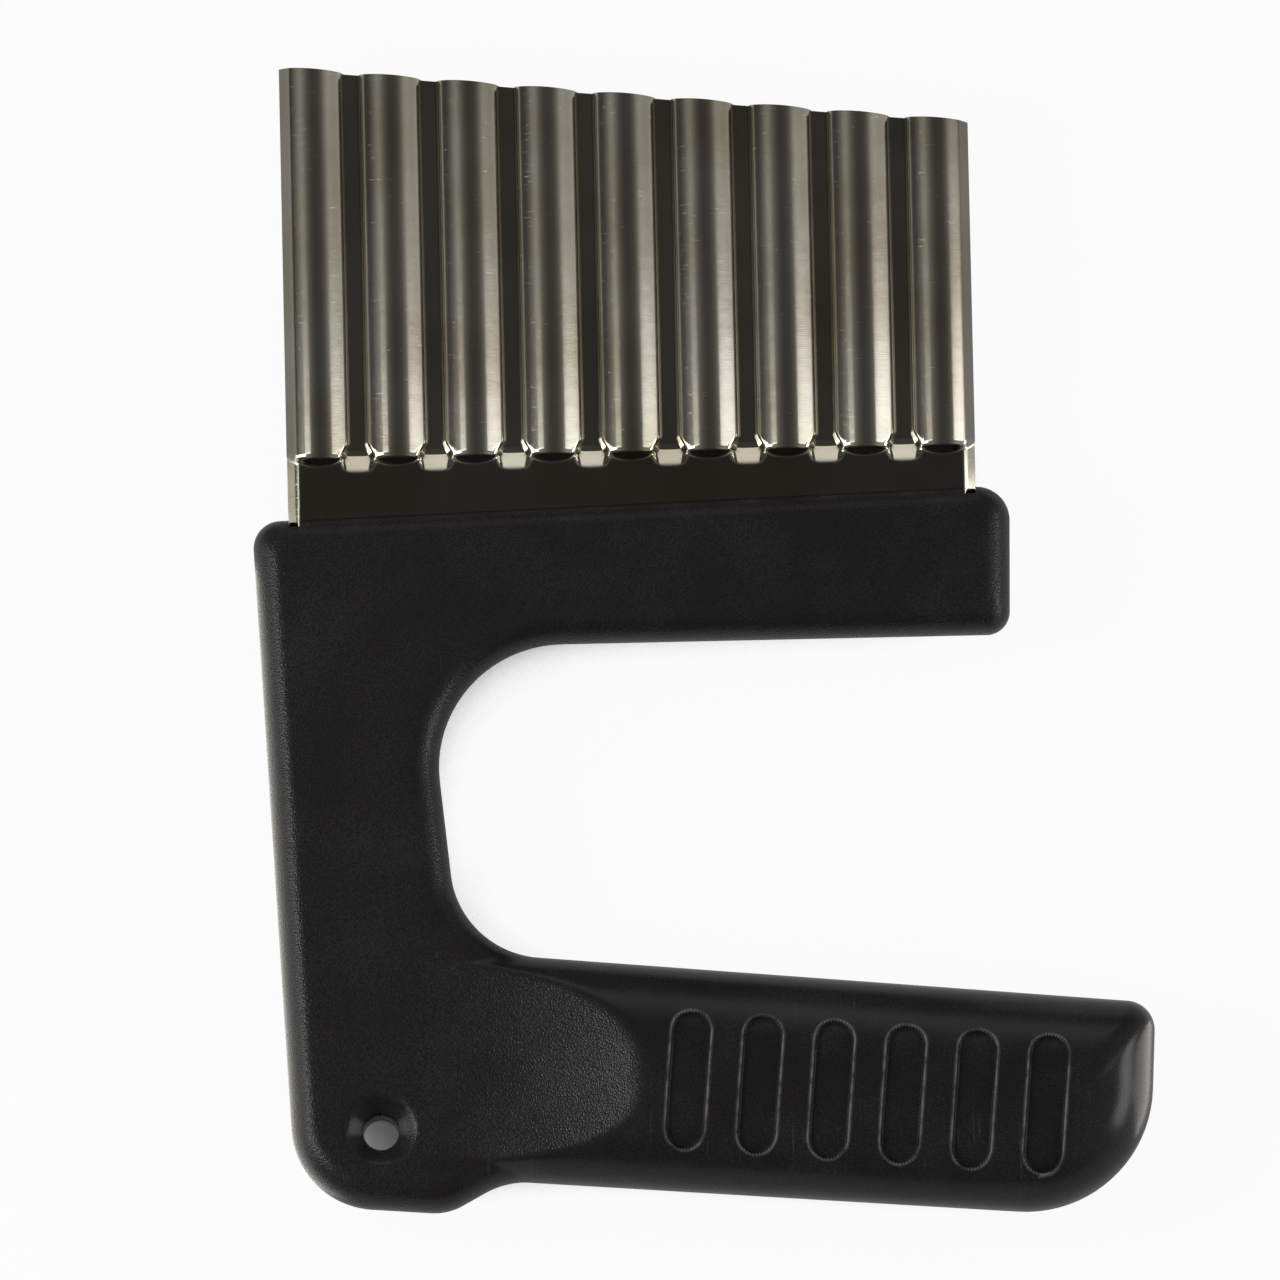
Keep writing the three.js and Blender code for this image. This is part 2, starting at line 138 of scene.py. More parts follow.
# Plastic: the same, with the grain's roughness and bump on the matte parts and on the grip
GRAIN, GRAIN_NOISE, GRAIN_HEIGHT = 0.21 * MM, (0.3, 0.7), 0.07 * MM
MATTE_ROUGHNESS, GRIP_ROUGHNESS = (0.2, 0.38), (0.22, 0.28)
MATTE_BUMP, GRIP_BUMP = 0.8, 0.12
CLOUD, MOTTLE_NOISE, MOTTLE_MOST = 9 * MM, (0.2, 0.42), 0.75
RUB_LENGTH, RUB_WIDTH, RUB_TURN = 8 * MM, 0.3 * MM, math.radians(5)
RUB_NOISE, RUB_CLOUD, RUB_MOST = (0.62, 0.78), (0.5, 0.7), 0.35
RIM_STRETCH, RIM_NOISE, RIM_PALE = 2 * MM, (0.35, 0.6), (0.25, 0.95)
# Half the width of the painted highlight along a recess's rim, and its level in the middle, cut off at 1
RIM_HIGHLIGHT_HALF_WIDTH, RIM_LEVEL = 0.14 * MM, 1.2
PLASTIC_IOR, PLASTIC_SPECULAR = 1.49, 0.2

# Stage, in metres and watts, with the camera's sensor in millimetres
SENSOR, FAR_CLIP = 36, 100
FLOOR_SIZE, FLOOR_GAP = 12, 0.2 * MM
# How far the floor looks for the tool above it, and the open share at which it is all shadow or all white
COVER_REACH, COVER_OPEN = 60 * MM, (0.25, 0.4)
WORLD_GREY = 0.55
# Name, place, width, height and power of each lamp
LAMPS = (
    ("right_softbox", (0.47, 0.1, 0.33), 0.08, 0.46, 0.2),
    ("right_low_softbox", (0.5, -0.085, 0.09), 0.34, 0.16, 0.9),
    ("left_softbox", (-0.46, -0.06, 0.4), 0.28, 0.2, 1.75),
    ("left_high_softbox", (-0.33, 0.1, 0.51), 0.05, 0.16, 0.062),
    ("left_low_softbox", (-0.45, -0.06, 0.13), 0.26, 0.2, 0.5))
# The tent's ends along Y, its radius, and the pale strip's place and half width
TENT_FROM, TENT_TO, TENT_RADIUS = -2.2, 2.0, 1.9
STRIP_AT, STRIP_HALF = 1.95, 0.6
# Brightness of the tent by degrees from the right-hand floor over the top to the left-hand floor,
# and of its ends and the pale strip by height
TENT_SHADES = (
    (0, 0.35), (8, 0.4), (12, 0.45), (20, 0.36), (30, 0.34), (40, 0.37), (48, 0.38), (57, 0.27),
    (65, 0.14), (74, 0.08), (90, 0.065), (98, 0.085), (106, 0.135), (115, 0.22), (123, 0.29), (132, 0.24),
    (140, 0.12), (150, 0.05), (163, 0.05), (168, 0.5), (174, 0.8), (180, 0.6))
TENT_NEAR = ((0.0, 0.04), (1.9, 0.04))
TENT_FAR = ((0.0, 0.06), (1.9, 0.06))
TENT_STRIP = ((0.5, 0.06), (0.7, 1.1), (1.25, 1.1), (1.5, 0.6), (1.9, 0.1))
# Glowing cards on the floor beside the stem and beside the grip's end, seen only in reflections, where they put
# highlights on the stem's edge and the grip's end: low corner, high corner, brightness
TENT_CARDS = (((-0.3, -0.085), (-0.052, 0.012), 2.2), ((0.0655, -0.07), (0.3, -0.046), 3.2))


def linear(hex_code):
    """Turns an sRGB hex value into linear colour."""
    channels = [int(hex_code[i:i + 2], 16) / 255 for i in (1, 3, 5)]
    return tuple(c / 12.92 if c <= 0.04045 else ((c + 0.055) / 1.055) ** 2.4 for c in channels)


def length(name, millimetres, description):
    return bpy.props.FloatProperty(
        name=name, description=description, default=millimetres * MM, min=0, precision=5, unit="LENGTH")


def angle(name, degrees, description):
    return bpy.props.FloatProperty(
        name=name, description=description, default=math.radians(degrees), unit="ROTATION")


def fraction(name, value, description):
    return bpy.props.FloatProperty(
        name=name, description=description, default=value, min=0, max=1, subtype="FACTOR")


def count(name, value, description):
    return bpy.props.IntProperty(name=name, description=description, default=value, min=1)


def colour(name, hex_code, description):
    return bpy.props.FloatVectorProperty(
        name=name, description=description, default=linear(hex_code), min=0, max=1, size=3, subtype="COLOR")


class BladeSettings(bpy.types.PropertyGroup):
    """Sizes and finish of the corrugated blade"""
    ridges: count("Ridges", 9, "Ridges across the blade")
    pitch: length("Pitch", 10, "From one ridge to the next")
    depth: length("Depth", 2.5, "From ridge to groove, at the middle of the sheet")
    ridge_radius: length("Ridge radius", 5, "Of a ridge, at the middle of the sheet")
    wall_place: length("Wall place", 3.36, "From a ridge's middle to the groove's wall, at the tang's plane")
    wall_lean: angle("Wall lean", 72, "Of a groove's wall, out of the flat")
    shoulder: length("Shoulder", 0.22, "Softness of the corner from ridge to wall")
    fillet: length("Fillet", 1.2, "Softness of the corner from wall to groove floor")
    groove_mouth: length("Groove mouth", 2.25, "Half the width of a groove's rounded end")
    mouth_flare: length("Mouth flare", 0.65, "How far a groove's walls give way at its end")
    ridge_nose: length("Ridge nose", 1.8, "How far the sides of a ridge's end lie behind its middle")
    thickness: length("Thickness", 0.8, "Of the sheet")
    lip_start: length("Lip start", 2.65, "From an end ridge's middle to the side lip")
    lip_width: length("Lip width", 1.15, "Of the side lip, seen from the front")
    lip_depth: length("Lip depth", 1, "How far the lip's edge lies behind the tang")
    show: length("Show", 53.4, "Cutting edge above the bar at the centre line")
    edge_slant: angle("Edge slant", 5.8, "The cutting edge falls away from the stem")
    bevel: length("Bevel", 2.2, "Ground on the back along the edge")
    edge_thickness: length("Edge thickness", 0.2, "Left at the cutting edge")
    tang_show: length("Tang show", 4.5, "Flat tang between the bar and the run-out of the wave")
    run_out: length("Run-out", 3.3, "In which the wave grows out of the tang")
    ridge_lag: length("Ridge lag", 1, "The ridges end this much higher up than the grooves")
    groove_curve: bpy.props.FloatProperty(
        name="Groove curve", description="Power of the curve of a groove's end", default=1.25, min=1)
    tang_depth: length("Tang depth", 11.5, "Of the tang inside the bar")
    lip_seat: length("Lip seat", 1.2, "How far the lips reach into the bar")
    steel: colour("Steel", "#c6c2b6", "Warm grey of the rolled sheet")
    stain: colour("Stain", "#aaa48e", "Olive cast of handled patches")
    # Colour of the dull film, which also paints shade into the grooves and onto the tang and the lips
    film: colour("Film", "#4c4943", "Dull film in the grooves and on the tang")


class HandleSettings(bpy.types.PropertyGroup):
    """Sizes and finish of the moulded handle"""
    bar_height: length("Bar height", 17.9, "At the blade's centre line")
    bar_slope: angle("Bar slope", 1.6, "The blade side rises towards the free end")
    bar_margin: length("Bar margin", 4.2, "Past the blade at either side")
    bar_end_lean: angle("Bar end lean", 1.2, "Of the free end")
    stem_width: length("Stem width", 21, "At the bar")
    stem_outer_lean: angle("Stem outer lean", 2.55, "Of the outer side")
    stem_inner_lean: angle("Stem inner lean", 5.45, "Of the finger side")
    finger_gap: length("Finger gap", 39.8, "From bar to grip along the stem")
    grip_length: length("Grip length", 88.7, "From the gap's corner to the free end")
    grip_height: length("Grip height", 29.2, "At the stem")
    grip_drop: angle("Grip drop", 5.5, "The upper side falls away from the bar")
    grip_taper: angle("Grip taper", 0.8, "Between the upper and the lower side")
    grip_end_lean: angle("Grip end lean", 3, "Of the free end")
    foot_depth: length("Foot depth", 4.75, "Below the grip's lower side")
    foot_start: length("Foot start", 5.35, "From the gap's corner to the foot's slope")
    foot_slope: angle("Foot slope", 28.6, "From the foot up to the grip")
    bar_corner_stem: length("Bar corner at stem", 3.5, "Corner radius")
    bar_corner_free: length("Bar corner at free end", 4.25, "Corner radius")
    bar_corner_inner: length("Bar inner corner", 3, "Corner radius")
    gap_corner_bar: length("Gap corner at bar", 16, "Corner radius")
    gap_corner_grip: length("Gap corner at grip", 12.25, "Corner radius")
    grip_corner_upper: length("Grip upper corner", 3.75, "Corner radius")
    grip_corner_lower: length("Grip lower corner", 16.25, "Corner radius")
    foot_blend: length("Foot blend", 10.5, "Corner radius")
    foot_round: length("Foot round", 7.5, "Corner radius")
    foot_corner: length("Foot corner", 11, "Corner radius")
    stem_thickness: length("Stem thickness", 9.5, "Of bar, stem and foot")
    edge_round: length("Edge round", 3.4, "Rounding of the edges, seen from the front")
    grip_thickness: length("Grip thickness", 20, "At the crest")
    crest_width: length("Crest width", 2.4, "Flat strip along the grip's crest")
    crest_offset: length("Crest offset", 1.5, "Below the middle of the grip")
    grip_end_round: length("Grip end round", 9.5, "Rounding of the free end, seen from the front")
    ramp_length: length("Ramp length", 30, "Of the cove from stem to crest")
    ramp_crest: length("Ramp crest", 22.7, "From the gap's corner to the cove's upper end")
    recesses: count("Recesses", 6, "Finger recesses on each face")
    recess_pitch: length("Recess pitch", 9.15, "From one recess to the next")
    recess_first: length("First recess", 29, "From the gap's corner")
    recess_width: length("Recess width", 5.2, "Along the grip")
    recess_length: length("Recess length", 17.9, "Across the grip")
    recess_depth: length("Recess depth", 0.7, "Into the dome")
    recess_offset: length("Recess offset", 1.3, "Below the middle of the grip")
    hole_throat: length("Hole throat", 4.5, "Diameter in the middle")
    hole_rim: length("Hole rim", 9, "Diameter at the faces")
    hole_lean: angle("Hole lean", 39, "Of the flare's wall, out of the flat")
    hole_from_edge: length("Hole from edge", 11.4, "From the stem's outer side")
    hole_from_foot: length("Hole from foot", 9.6, "From the foot's lower side")
    mould_gap: length("Mould gap", 0.2, "Between the blade and the moulding")
    plastic: colour("Plastic", "#1a1819", "Black of the moulding")
    plastic_pale: colour("Plastic pale", "#262425", "Where the grain catches light")
    # Colour of the rubbed marks, and of the painted highlight along the recesses' rims
    scuff_and_painted_highlight: colour("Scuff", "#6b6968", "Rubbed marks")


class StageSettings(bpy.types.PropertyGroup):
    """Camera, light and floor"""
    distance: length("Camera distance", 5000, "From the middle of the picture")
    field: length("Field", 163.84, "Width that the picture shows")
    tilt: angle("Camera tilt", 10, "From straight above, towards the grip")
    roll: angle("Roll", 1.25, "The tool is turned this much in the picture")
    middle_x: bpy.props.FloatProperty(
        name="Middle X", description="Middle of the picture", default=-7.72 * MM, unit="LENGTH", precision=5)
    middle_y: bpy.props.FloatProperty(
        name="Middle Y", description="Middle of the picture", default=-0.1 * MM, unit="LENGTH", precision=5)
    floor: colour("Floor", "#c4c4c4", "Pale sweep under the tool")
    shadow: fraction("Shadow", 0.06, "How much of the shadow the floor shows")
    mirrored: fraction("Mirrored white", 0.12, "How white the floor looks in metal and gloss")


def fill(tree, node, links):
    """Links or sets a node's inputs, by name or number."""
    for name, value in links.items():
        if isinstance(value, bpy.types.NodeSocket):
            tree.links.new(value, node.inputs[name])
        else:
            node.inputs[name].default_value = value


def add(tree, kind, settings=None, links=None, out=0):
    """Adds a node, makes its settings, fills its inputs and gives one of its outputs.
    Settings that are only a word are the node's operation, and links in a tuple go to the inputs in order."""
    made = tree.nodes.new(kind)
    if isinstance(settings, str):
        settings = {"operation": settings}
    for name, value in (settings or {}).items():
        setattr(made, name, value)
    fill(tree, made, dict(enumerate(links)) if isinstance(links, tuple) else links or {})
    return made.outputs[out]


def put(name, mesh):
    """A new object for a mesh, at the origin."""
    piece = bpy.data.objects.new(name, mesh)
    bpy.context.scene.collection.objects.link(piece)
    return piece


def applied(piece):
    """Gives a piece the plain mesh that its modifiers make."""
    bpy.context.view_layer.update()
    evaluated = piece.evaluated_get(bpy.context.evaluated_depsgraph_get())
    mesh = bpy.data.meshes.new_from_object(evaluated)
    piece.modifiers.clear()
    piece.data = mesh
    mesh.name = piece.name


def mark(mesh, name, values):
    """Stores one value for each point of a mesh."""
    attribute = mesh.attributes.new(name, "FLOAT", "POINT")
    attribute.data.foreach_set("value", np.asarray(values, np.float32))


def blade_half(blade):
    """Half the blade's width, with a lip."""
    return (blade.ridges - 1) / 2 * blade.pitch + blade.lip_start + blade.lip_width


def tang_foot(blade, handle):
    """Height of the tang's lower end over the bar's finger side."""
    return handle.bar_height - blade.tang_depth


def drawing_origin(blade, handle):
    """Where the drawing's zero point lies in the frame: blade centre line, bar's finger side, parting plane."""
    blade_low, blade_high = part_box("blade")
    handle_low, handle_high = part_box("handle")
    return Vector((
        (blade_low.x + blade_high.x) / 2,
        blade_low.y - tang_foot(blade, handle),
        (handle_low.z + handle_high.z) / 2))


# Materials

def new_material(name):
    """A material, its tree and its surface shader."""
    material = bpy.data.materials.new(name)
    material.use_nodes = True
    tree = material.node_tree
    return material, tree, tree.nodes["Principled BSDF"]


def rolled_stainless(settings):
    """Stainless sheet, cold rolled and pressed: bright, a little warm, with short scratches across the ridges,
    handled patches, and grooves, tang and lips darkened by a dull film that is also painted shade."""
    material, tree, shader = new_material("rolled_stainless_sheet")
    node = partial(add, tree)
    place = node("ShaderNodeTexCoord", out=3)
    # Film and painted shade: darkens the grooves' corners, the tang and the lips
    film = node(ATTRIBUTE, {"attribute_name": "film"}, out=2)
    patches = node(NOISE, None, {"Vector": place, "Scale": 1 / PATCH, "Detail": 2.0, "Roughness": 0.5})
    handled = node(SPAN, None, (patches, *PATCH_NOISE, 0.0, PATCH_MOST))
    tint = node(MIX, {"data_type": "RGBA"}, {0: handled, 6: (*settings.steel, 1), 7: (*settings.stain, 1)}, out=2)
    colour_here = node(MIX, {"data_type": "RGBA"}, {0: film, 6: tint, 7: (*settings.film, 1)}, out=2)
    # Scratches, wider than real ones so that they show
    across = node("ShaderNodeMapping", None,
                  {0: place, "Scale": (1 / SCRATCH_LENGTH, 1 / SCRATCH_WIDTH, 1 / SCRATCH_LENGTH)})
    ticks = node(NOISE, None, {"Vector": across, "Scale": 1.0, "Detail": 2.0, "Roughness": 0.6})
    scratched = node(SPAN, None, (ticks, *SCRATCH_NOISE, 0.0, 1.0))
    smooth = node(SPAN, None, (scratched, 0.0, 1.0, STEEL_ROUGHNESS, SCRATCH_ROUGHNESS))
    gloss = node(MIX, None, {0: film, 2: smooth, 3: FILM_ROUGHNESS})
    # Press dimples make the stripes waver slightly
    dimples = node(NOISE, None, {"Vector": place, "Scale": 1 / DIMPLE, "Detail": 1.0})
    wavy = node(BUMP, None, {**DIMPLE_BUMP, "Height": dimples})
    rough = node(BUMP, None, {**SCRATCH_BUMP, "Height": ticks, "Normal": wavy})
    fill(tree, shader, {"Base Color": colour_here, "Roughness": gloss, "Normal": rough, "Metallic": 1.0})
    return material


def moulded_polypropylene(settings):
    """Black polypropylene out of a spark-eroded mould: matte with a fine grain that sparkles where light grazes it,
    and a smoother, slightly glossier grip with rubbed marks and a painted highlight along the recesses' rims."""
    material, tree, shader = new_material("spark_eroded_polypropylene")
    node = partial(add, tree)
    place = node("ShaderNodeTexCoord", out=3)
    polish = node(ATTRIBUTE, {"attribute_name": "polish"}, out=2)
    # Where the painted highlight runs along the recesses' rims
    rim = node(ATTRIBUTE, {"attribute_name": "rim"}, out=2)
    # Spark-eroded grain, which comes out at about 0.3 mm from hill to hill
    grain = node(NOISE, None, {"Vector": place, "Scale": 1 / GRAIN, "Detail": 0.0})
    # Cloudy shade of the moulding
    cloud = node(NOISE, None, {"Vector": place, "Scale": 1 / CLOUD, "Detail": 3.0})
    mottle = node(MATHS, "MULTIPLY", (grain, cloud))
    pale = node(SPAN, None, (mottle, *MOTTLE_NOISE, 0.0, MOTTLE_MOST))
    ground = node(MIX, {"data_type": "RGBA"},
                  {0: pale, 6: (*settings.plastic, 1), 7: (*settings.plastic_pale, 1)}, out=2)
    # Rubbed marks across the grip
    across = node("ShaderNodeMapping", None, {
        0: place, "Rotation": (0, 0, RUB_TURN), "Scale": (1 / RUB_WIDTH, 1 / RUB_LENGTH, 1 / RUB_LENGTH)})
    rubs = node(NOISE, None, {"Vector": across, "Scale": 1.0, "Detail": 2.0, "Roughness": 0.7})
    lines = node(SPAN, None, (rubs, *RUB_NOISE, 0.0, 1.0))
    where = node(SPAN, None, (cloud, *RUB_CLOUD, 0.0, RUB_MOST))
    rubbed = node(MATHS, "MULTIPLY", (lines, where))
    marked = node(MATHS, "MULTIPLY", (rubbed, polish))
    # The recesses' rims get a painted highlight in stretches, in the rubbed marks' pale colour
    stretches = node(NOISE, None, {"Vector": place, "Scale": 1 / RIM_STRETCH, "Detail": 2.0})
    kept_rim = node(SPAN, None, (stretches, *RIM_NOISE, *RIM_PALE))
    painted_rim_highlight = node(MATHS, "MULTIPLY", (rim, kept_rim))
    scuffs_and_painted_highlight = node(MATHS, "MAXIMUM", (marked, painted_rim_highlight))
    tint = node(MIX, {"data_type": "RGBA"}, {0: scuffs_and_painted_highlight, 6: ground, 7: (*settings.scuff_and_painted_highlight, 1)}, out=2)
    matte = node(SPAN, None, (grain, *GRAIN_NOISE, *MATTE_ROUGHNESS))
    sleek = node(SPAN, None, (grain, *GRAIN_NOISE, *GRIP_ROUGHNESS))
    gloss = node(MIX, None, {0: polish, 2: matte, 3: sleek})
    height = node(SPAN, None, (polish, 0.0, 1.0, MATTE_BUMP, GRIP_BUMP))
    bumps = node(BUMP, None, {"Strength": height, "Distance": GRAIN_HEIGHT, "Height": grain})
    fill(tree, shader, {
        "Base Color": tint, "Roughness": gloss, "Normal": bumps,
        "IOR": PLASTIC_IOR, "Specular IOR Level": PLASTIC_SPECULAR})
    return material


# Blade

def corrugated_sheet_tree(material, columns, values):
    """The sheet as a rule: round ridges and flat grooves repeat across it and run out into the flat tang.
    Its inputs are named and typed as the values that it will get."""
    tree = bpy.data.node_groups.new("corrugated_sheet", "GeometryNodeTree")
    tree.interface.new_socket("Geometry", in_out="OUTPUT", socket_type="NodeSocketGeometry")
    for name, value in values.items():
        tree.interface.new_socket(name, in_out="INPUT", socket_type=SOCKETS[type(value)])
    size = tree.nodes.new("NodeGroupInput").outputs
    node = partial(add, tree)

    half_pitch = node(MATHS, "DIVIDE", (size["Pitch"], 2.0))
    half_depth = node(MATHS, "DIVIDE", (size["Depth"], 2.0))
    below = node(MATHS, "MULTIPLY", (half_depth, -1.0))
    ridge_squared = node(MATHS, "MULTIPLY", (size["Ridge radius"], size["Ridge radius"]))
    ridge_base = node(MATHS, "SUBTRACT", (half_depth, size["Ridge radius"]))
    ridge_to = node(MATHS, "SUBTRACT", (size["Wall place"], WALL_ZONE))
    wall_to = node(MATHS, "ADD", (size["Wall place"], WALL_REACH))
    wall_width = node(MATHS, "SUBTRACT", (wall_to, ridge_to))
    floor_width = node(MATHS, "SUBTRACT", (half_pitch, wall_to))
    lip_turn = node(MATHS, "DIVIDE", (size["Lip start"], ridge_to))
    lip_from = node(MATHS, "MULTIPLY", (lip_turn, RIDGE_SHARE))
    lip_to = node(MATHS, "ADD", (lip_from, LIP_COLUMNS / COLUMNS_PER_RIDGE))
    last = node(MATHS, "SUBTRACT", (size["Ridges"], 1.0))
    half_count = node(MATHS, "DIVIDE", (last, 2.0))
    reach = node(MATHS, "ADD", (half_count, lip_to))
    width = node(MATHS, "MULTIPLY", (reach, 2.0))

    # A grid whose X counts ridges and whose Y counts rows from the tang to the edge
    rows = TANG_ROWS + RUN_OUT_ROWS + STRAIGHT_ROWS + BEVEL_ROWS
    grid = node("GeometryNodeMeshGrid", None,
                {"Size X": width, "Size Y": 1.0, "Vertices X": columns, "Vertices Y": rows + 1})
    spot = node("ShaderNodeSeparateXYZ", None, (node("GeometryNodeInputPosition"),)).node.outputs
    row = node(SPAN, None, (spot["Y"], -0.5, 0.5, 0.0, float(rows)))

    # Which ridge a column belongs to and how far it lies from that ridge's middle
    counted = node(MATHS, "ADD", (spot["X"], half_count))
    nearest = node(MATHS, "ROUND", (counted,))
    number = node("ShaderNodeClamp", None, (nearest, 0.0, last))
    middle = node(MATHS, "SUBTRACT", (number, half_count))
    aside = node(MATHS, "SUBTRACT", (spot["X"], middle))
    away = node(MATHS, "ABSOLUTE", (aside,))
    hand = node(MATHS, "SIGN", (aside,))

    # Across a ridge: columns are shared out over its round top, the groove's wall and the groove's floor
    wall_share = RIDGE_SHARE + WALL_SHARE
    on_ridge = node(SPAN, None, (away, 0.0, RIDGE_SHARE, 0.0, ridge_to))
    on_wall = node(SPAN, None, (away, RIDGE_SHARE, wall_share, 0.0, wall_width))
    on_floor = node(SPAN, None, (away, wall_share, 0.5, 0.0, floor_width))
    past_ridge = node(MATHS, "ADD", (on_wall, on_floor))
    wave_x = node(MATHS, "ADD", (on_ridge, past_ridge))

    # Side lips, turned back past the outer flank of the first and the last ridge
    across = node(MATHS, "ABSOLUTE", (spot["X"],))
    outer = node(MATHS, "SUBTRACT", (across, half_count))
    on_lip = node(MATHS, "GREATER_THAN", (outer, lip_from))
    lip_share = node(SPAN, None, (outer, lip_from, lip_to, 0.0, 1.0))
    lip_x = node(MATHS, "MULTIPLY_ADD", (size["Lip width"], lip_share, size["Lip start"]))
    lip_squared = node(MATHS, "MULTIPLY", (size["Lip start"], size["Lip start"]))
    lip_over = node(MATHS, "SUBTRACT", (ridge_squared, lip_squared))
    lip_height = node(MATHS, "SQRT", (lip_over,))
    lip_top = node(MATHS, "ADD", (lip_height, ridge_base))
    offset_x = node(MIX, None, {0: on_lip, 2: wave_x, 3: lip_x})
    side_x = node(MATHS, "MULTIPLY", (offset_x, hand))
    x = node(MATHS, "MULTIPLY_ADD", (middle, size["Pitch"], side_x))

    # Rows: tang, run-out, straight ridges and ground bevel
    first, second = float(TANG_ROWS), float(TANG_ROWS + RUN_OUT_ROWS)
    third, fourth = float(rows - BEVEL_ROWS), float(rows)
    edge = node(MATHS, "MULTIPLY_ADD", (x, size["Edge slope"], size["Edge height"]))
    flat_to = node(MATHS, "ADD", (size["Tang foot"], size["Tang length"]))
    wave_to = node(MATHS, "ADD", (flat_to, size["Run-out"]))
    fine_length = node(MATHS, "ADD", (size["Run-out"], FLARE_LEAD))
    fine_to = node(MATHS, "ADD", (flat_to, fine_length))
    straight = node(MATHS, "SUBTRACT", (edge, fine_to))
    unground = node(MATHS, "SUBTRACT", (straight, size["Bevel"]))
    tang_y = node(SPAN, None, (row, 0.0, first, size["Tang foot"], flat_to))
    run_out_y = node(SPAN, None, (row, first, second, 0.0, fine_length))
    straight_y = node(SPAN, None, (row, second, third, 0.0, unground))
    bevel_y = node(SPAN, None, (row, third, fourth, 0.0, size["Bevel"]))
    lower_y = node(MATHS, "ADD", (tang_y, run_out_y))
    upper_y = node(MATHS, "ADD", (straight_y, bevel_y))
    sheet_y = node(MATHS, "ADD", (lower_y, upper_y))
    seat = node(MATHS, "MULTIPLY_ADD", (x, size["Seat slope"], size["Lip seat"]))
    seated = node(MATHS, "MAXIMUM", (sheet_y, seat))
    y = node(MIX, None, {0: on_lip, 2: sheet_y, 3: seated})

    # Round top, steep wall and flat floor, with the corners between them softened.
    # The wall gives way to the groove's mouth towards its end.
    flared_at = node(MATHS, "SUBTRACT", (fine_to, FLARE_REACH))
    given_way = node(SPAN, {"interpolation_type": "SMOOTHSTEP"},
                     (sheet_y, flared_at, fine_to, size["Mouth flare"], 0.0))
    wall_here = node(MATHS, "SUBTRACT", (size["Wall place"], given_way))
    squared = node(MATHS, "MULTIPLY", (wave_x, wave_x))
    left_over = node(MATHS, "SUBTRACT", (ridge_squared, squared))
    inside_arc = node(MATHS, "MAXIMUM", (left_over, 0.0))
    arc_height = node(MATHS, "SQRT", (inside_arc,))
    arc_z = node(MATHS, "ADD", (arc_height, ridge_base))
    to_wall = node(MATHS, "SUBTRACT", (wall_here, wave_x))
    wall_z = node(MATHS, "MULTIPLY", (to_wall, size["Wall slope"]))
    shouldered = node(MATHS, "SMOOTH_MIN", (arc_z, wall_z, size["Shoulder"]))
    wave_z = node(MATHS, "SMOOTH_MAX", (shouldered, below, size["Fillet"]))

    # A ridge ends in an S-curve and is round in plan, and a groove's floor runs up to the tang like a spoon's end
    profile = node(MIX, None, {0: on_lip, 2: wave_z, 3: lip_top})
    out_of_plane = node(MATHS, "ABSOLUTE", (profile,))
    towards = node(MATHS, "SIGN", (profile,))
    in_front = node(MATHS, "GREATER_THAN", (profile, 0.0))
    ridge_aside = node(SPAN, None, (wave_x, 0.0, size["Wall place"], 0.0, 1.0))
    aside_squared = node(MATHS, "MULTIPLY", (ridge_aside, ridge_aside))
    ridge_rest = node(MATHS, "SUBTRACT", (1.0, aside_squared))
    ridge_round = node(MATHS, "SQRT", (ridge_rest,))
    ridge_gap = node(MATHS, "SUBTRACT", (1.0, ridge_round))
    ridge_back = node(MATHS, "MULTIPLY_ADD", (ridge_gap, size["Ridge nose"], size["Ridge lag"]))
    ridge_foot = node(MATHS, "ADD", (flat_to, ridge_back))
    ridge_head = node(MATHS, "ADD", (ridge_foot, size["Ridge rise"]))
    ridge_grown = node(SPAN, {"interpolation_type": "SMOOTHSTEP"}, (sheet_y, ridge_foot, ridge_head, 0.0, 1.0))
    from_floor = node(MATHS, "SUBTRACT", (half_pitch, wave_x))
    mouth_share = node(SPAN, None, (from_floor, 0.0, size["Groove mouth"], 0.0, 1.0))
    mouth_side = node(MATHS, "POWER", (mouth_share, MOUTH_POWER))
    mouth_rest = node(MATHS, "SUBTRACT", (1.0, mouth_side))
    mouth_round = node(MATHS, "POWER", (mouth_rest, 1 / MOUTH_POWER))
    mouth_gap = node(MATHS, "SUBTRACT", (1.0, mouth_round))
    groove_foot = node(MATHS, "MULTIPLY_ADD", (mouth_gap, size["Groove mouth"], flat_to))
    climbed = node(SPAN, None, (sheet_y, groove_foot, wave_to, 0.0, 1.0))
    groove_grown = node(MATHS, "POWER", (climbed, size["Groove curve"]))
    grown = node(MIX, None, {0: in_front, 2: groove_grown, 3: ridge_grown})
    cleared = node(MATHS, "ADD", (half_depth, END_ROUND))
    limit = node(MATHS, "MULTIPLY", (cleared, grown))
    softness = node(MATHS, "MULTIPLY", (grown, END_ROUND))
    ended = node(MATHS, "SMOOTH_MIN", (out_of_plane, limit, softness))
    grown_z = node(MATHS, "MULTIPLY", (ended, towards))
    lip_end_z = node(MATHS, "MULTIPLY", (size["Lip depth"], -1.0))
    z = node(MIX, None, {0: lip_share, 2: grown_z, 3: lip_end_z})
    point = node("ShaderNodeCombineXYZ", None, (x, y, z))
    placed = node(VECTOR_MATHS, "ADD", (point, size["Origin"]))
    numbered = node(STORE, {"data_type": "FLOAT", "domain": "POINT"},
                    {"Geometry": grid, "Name": "sheet_row", "Value": row})
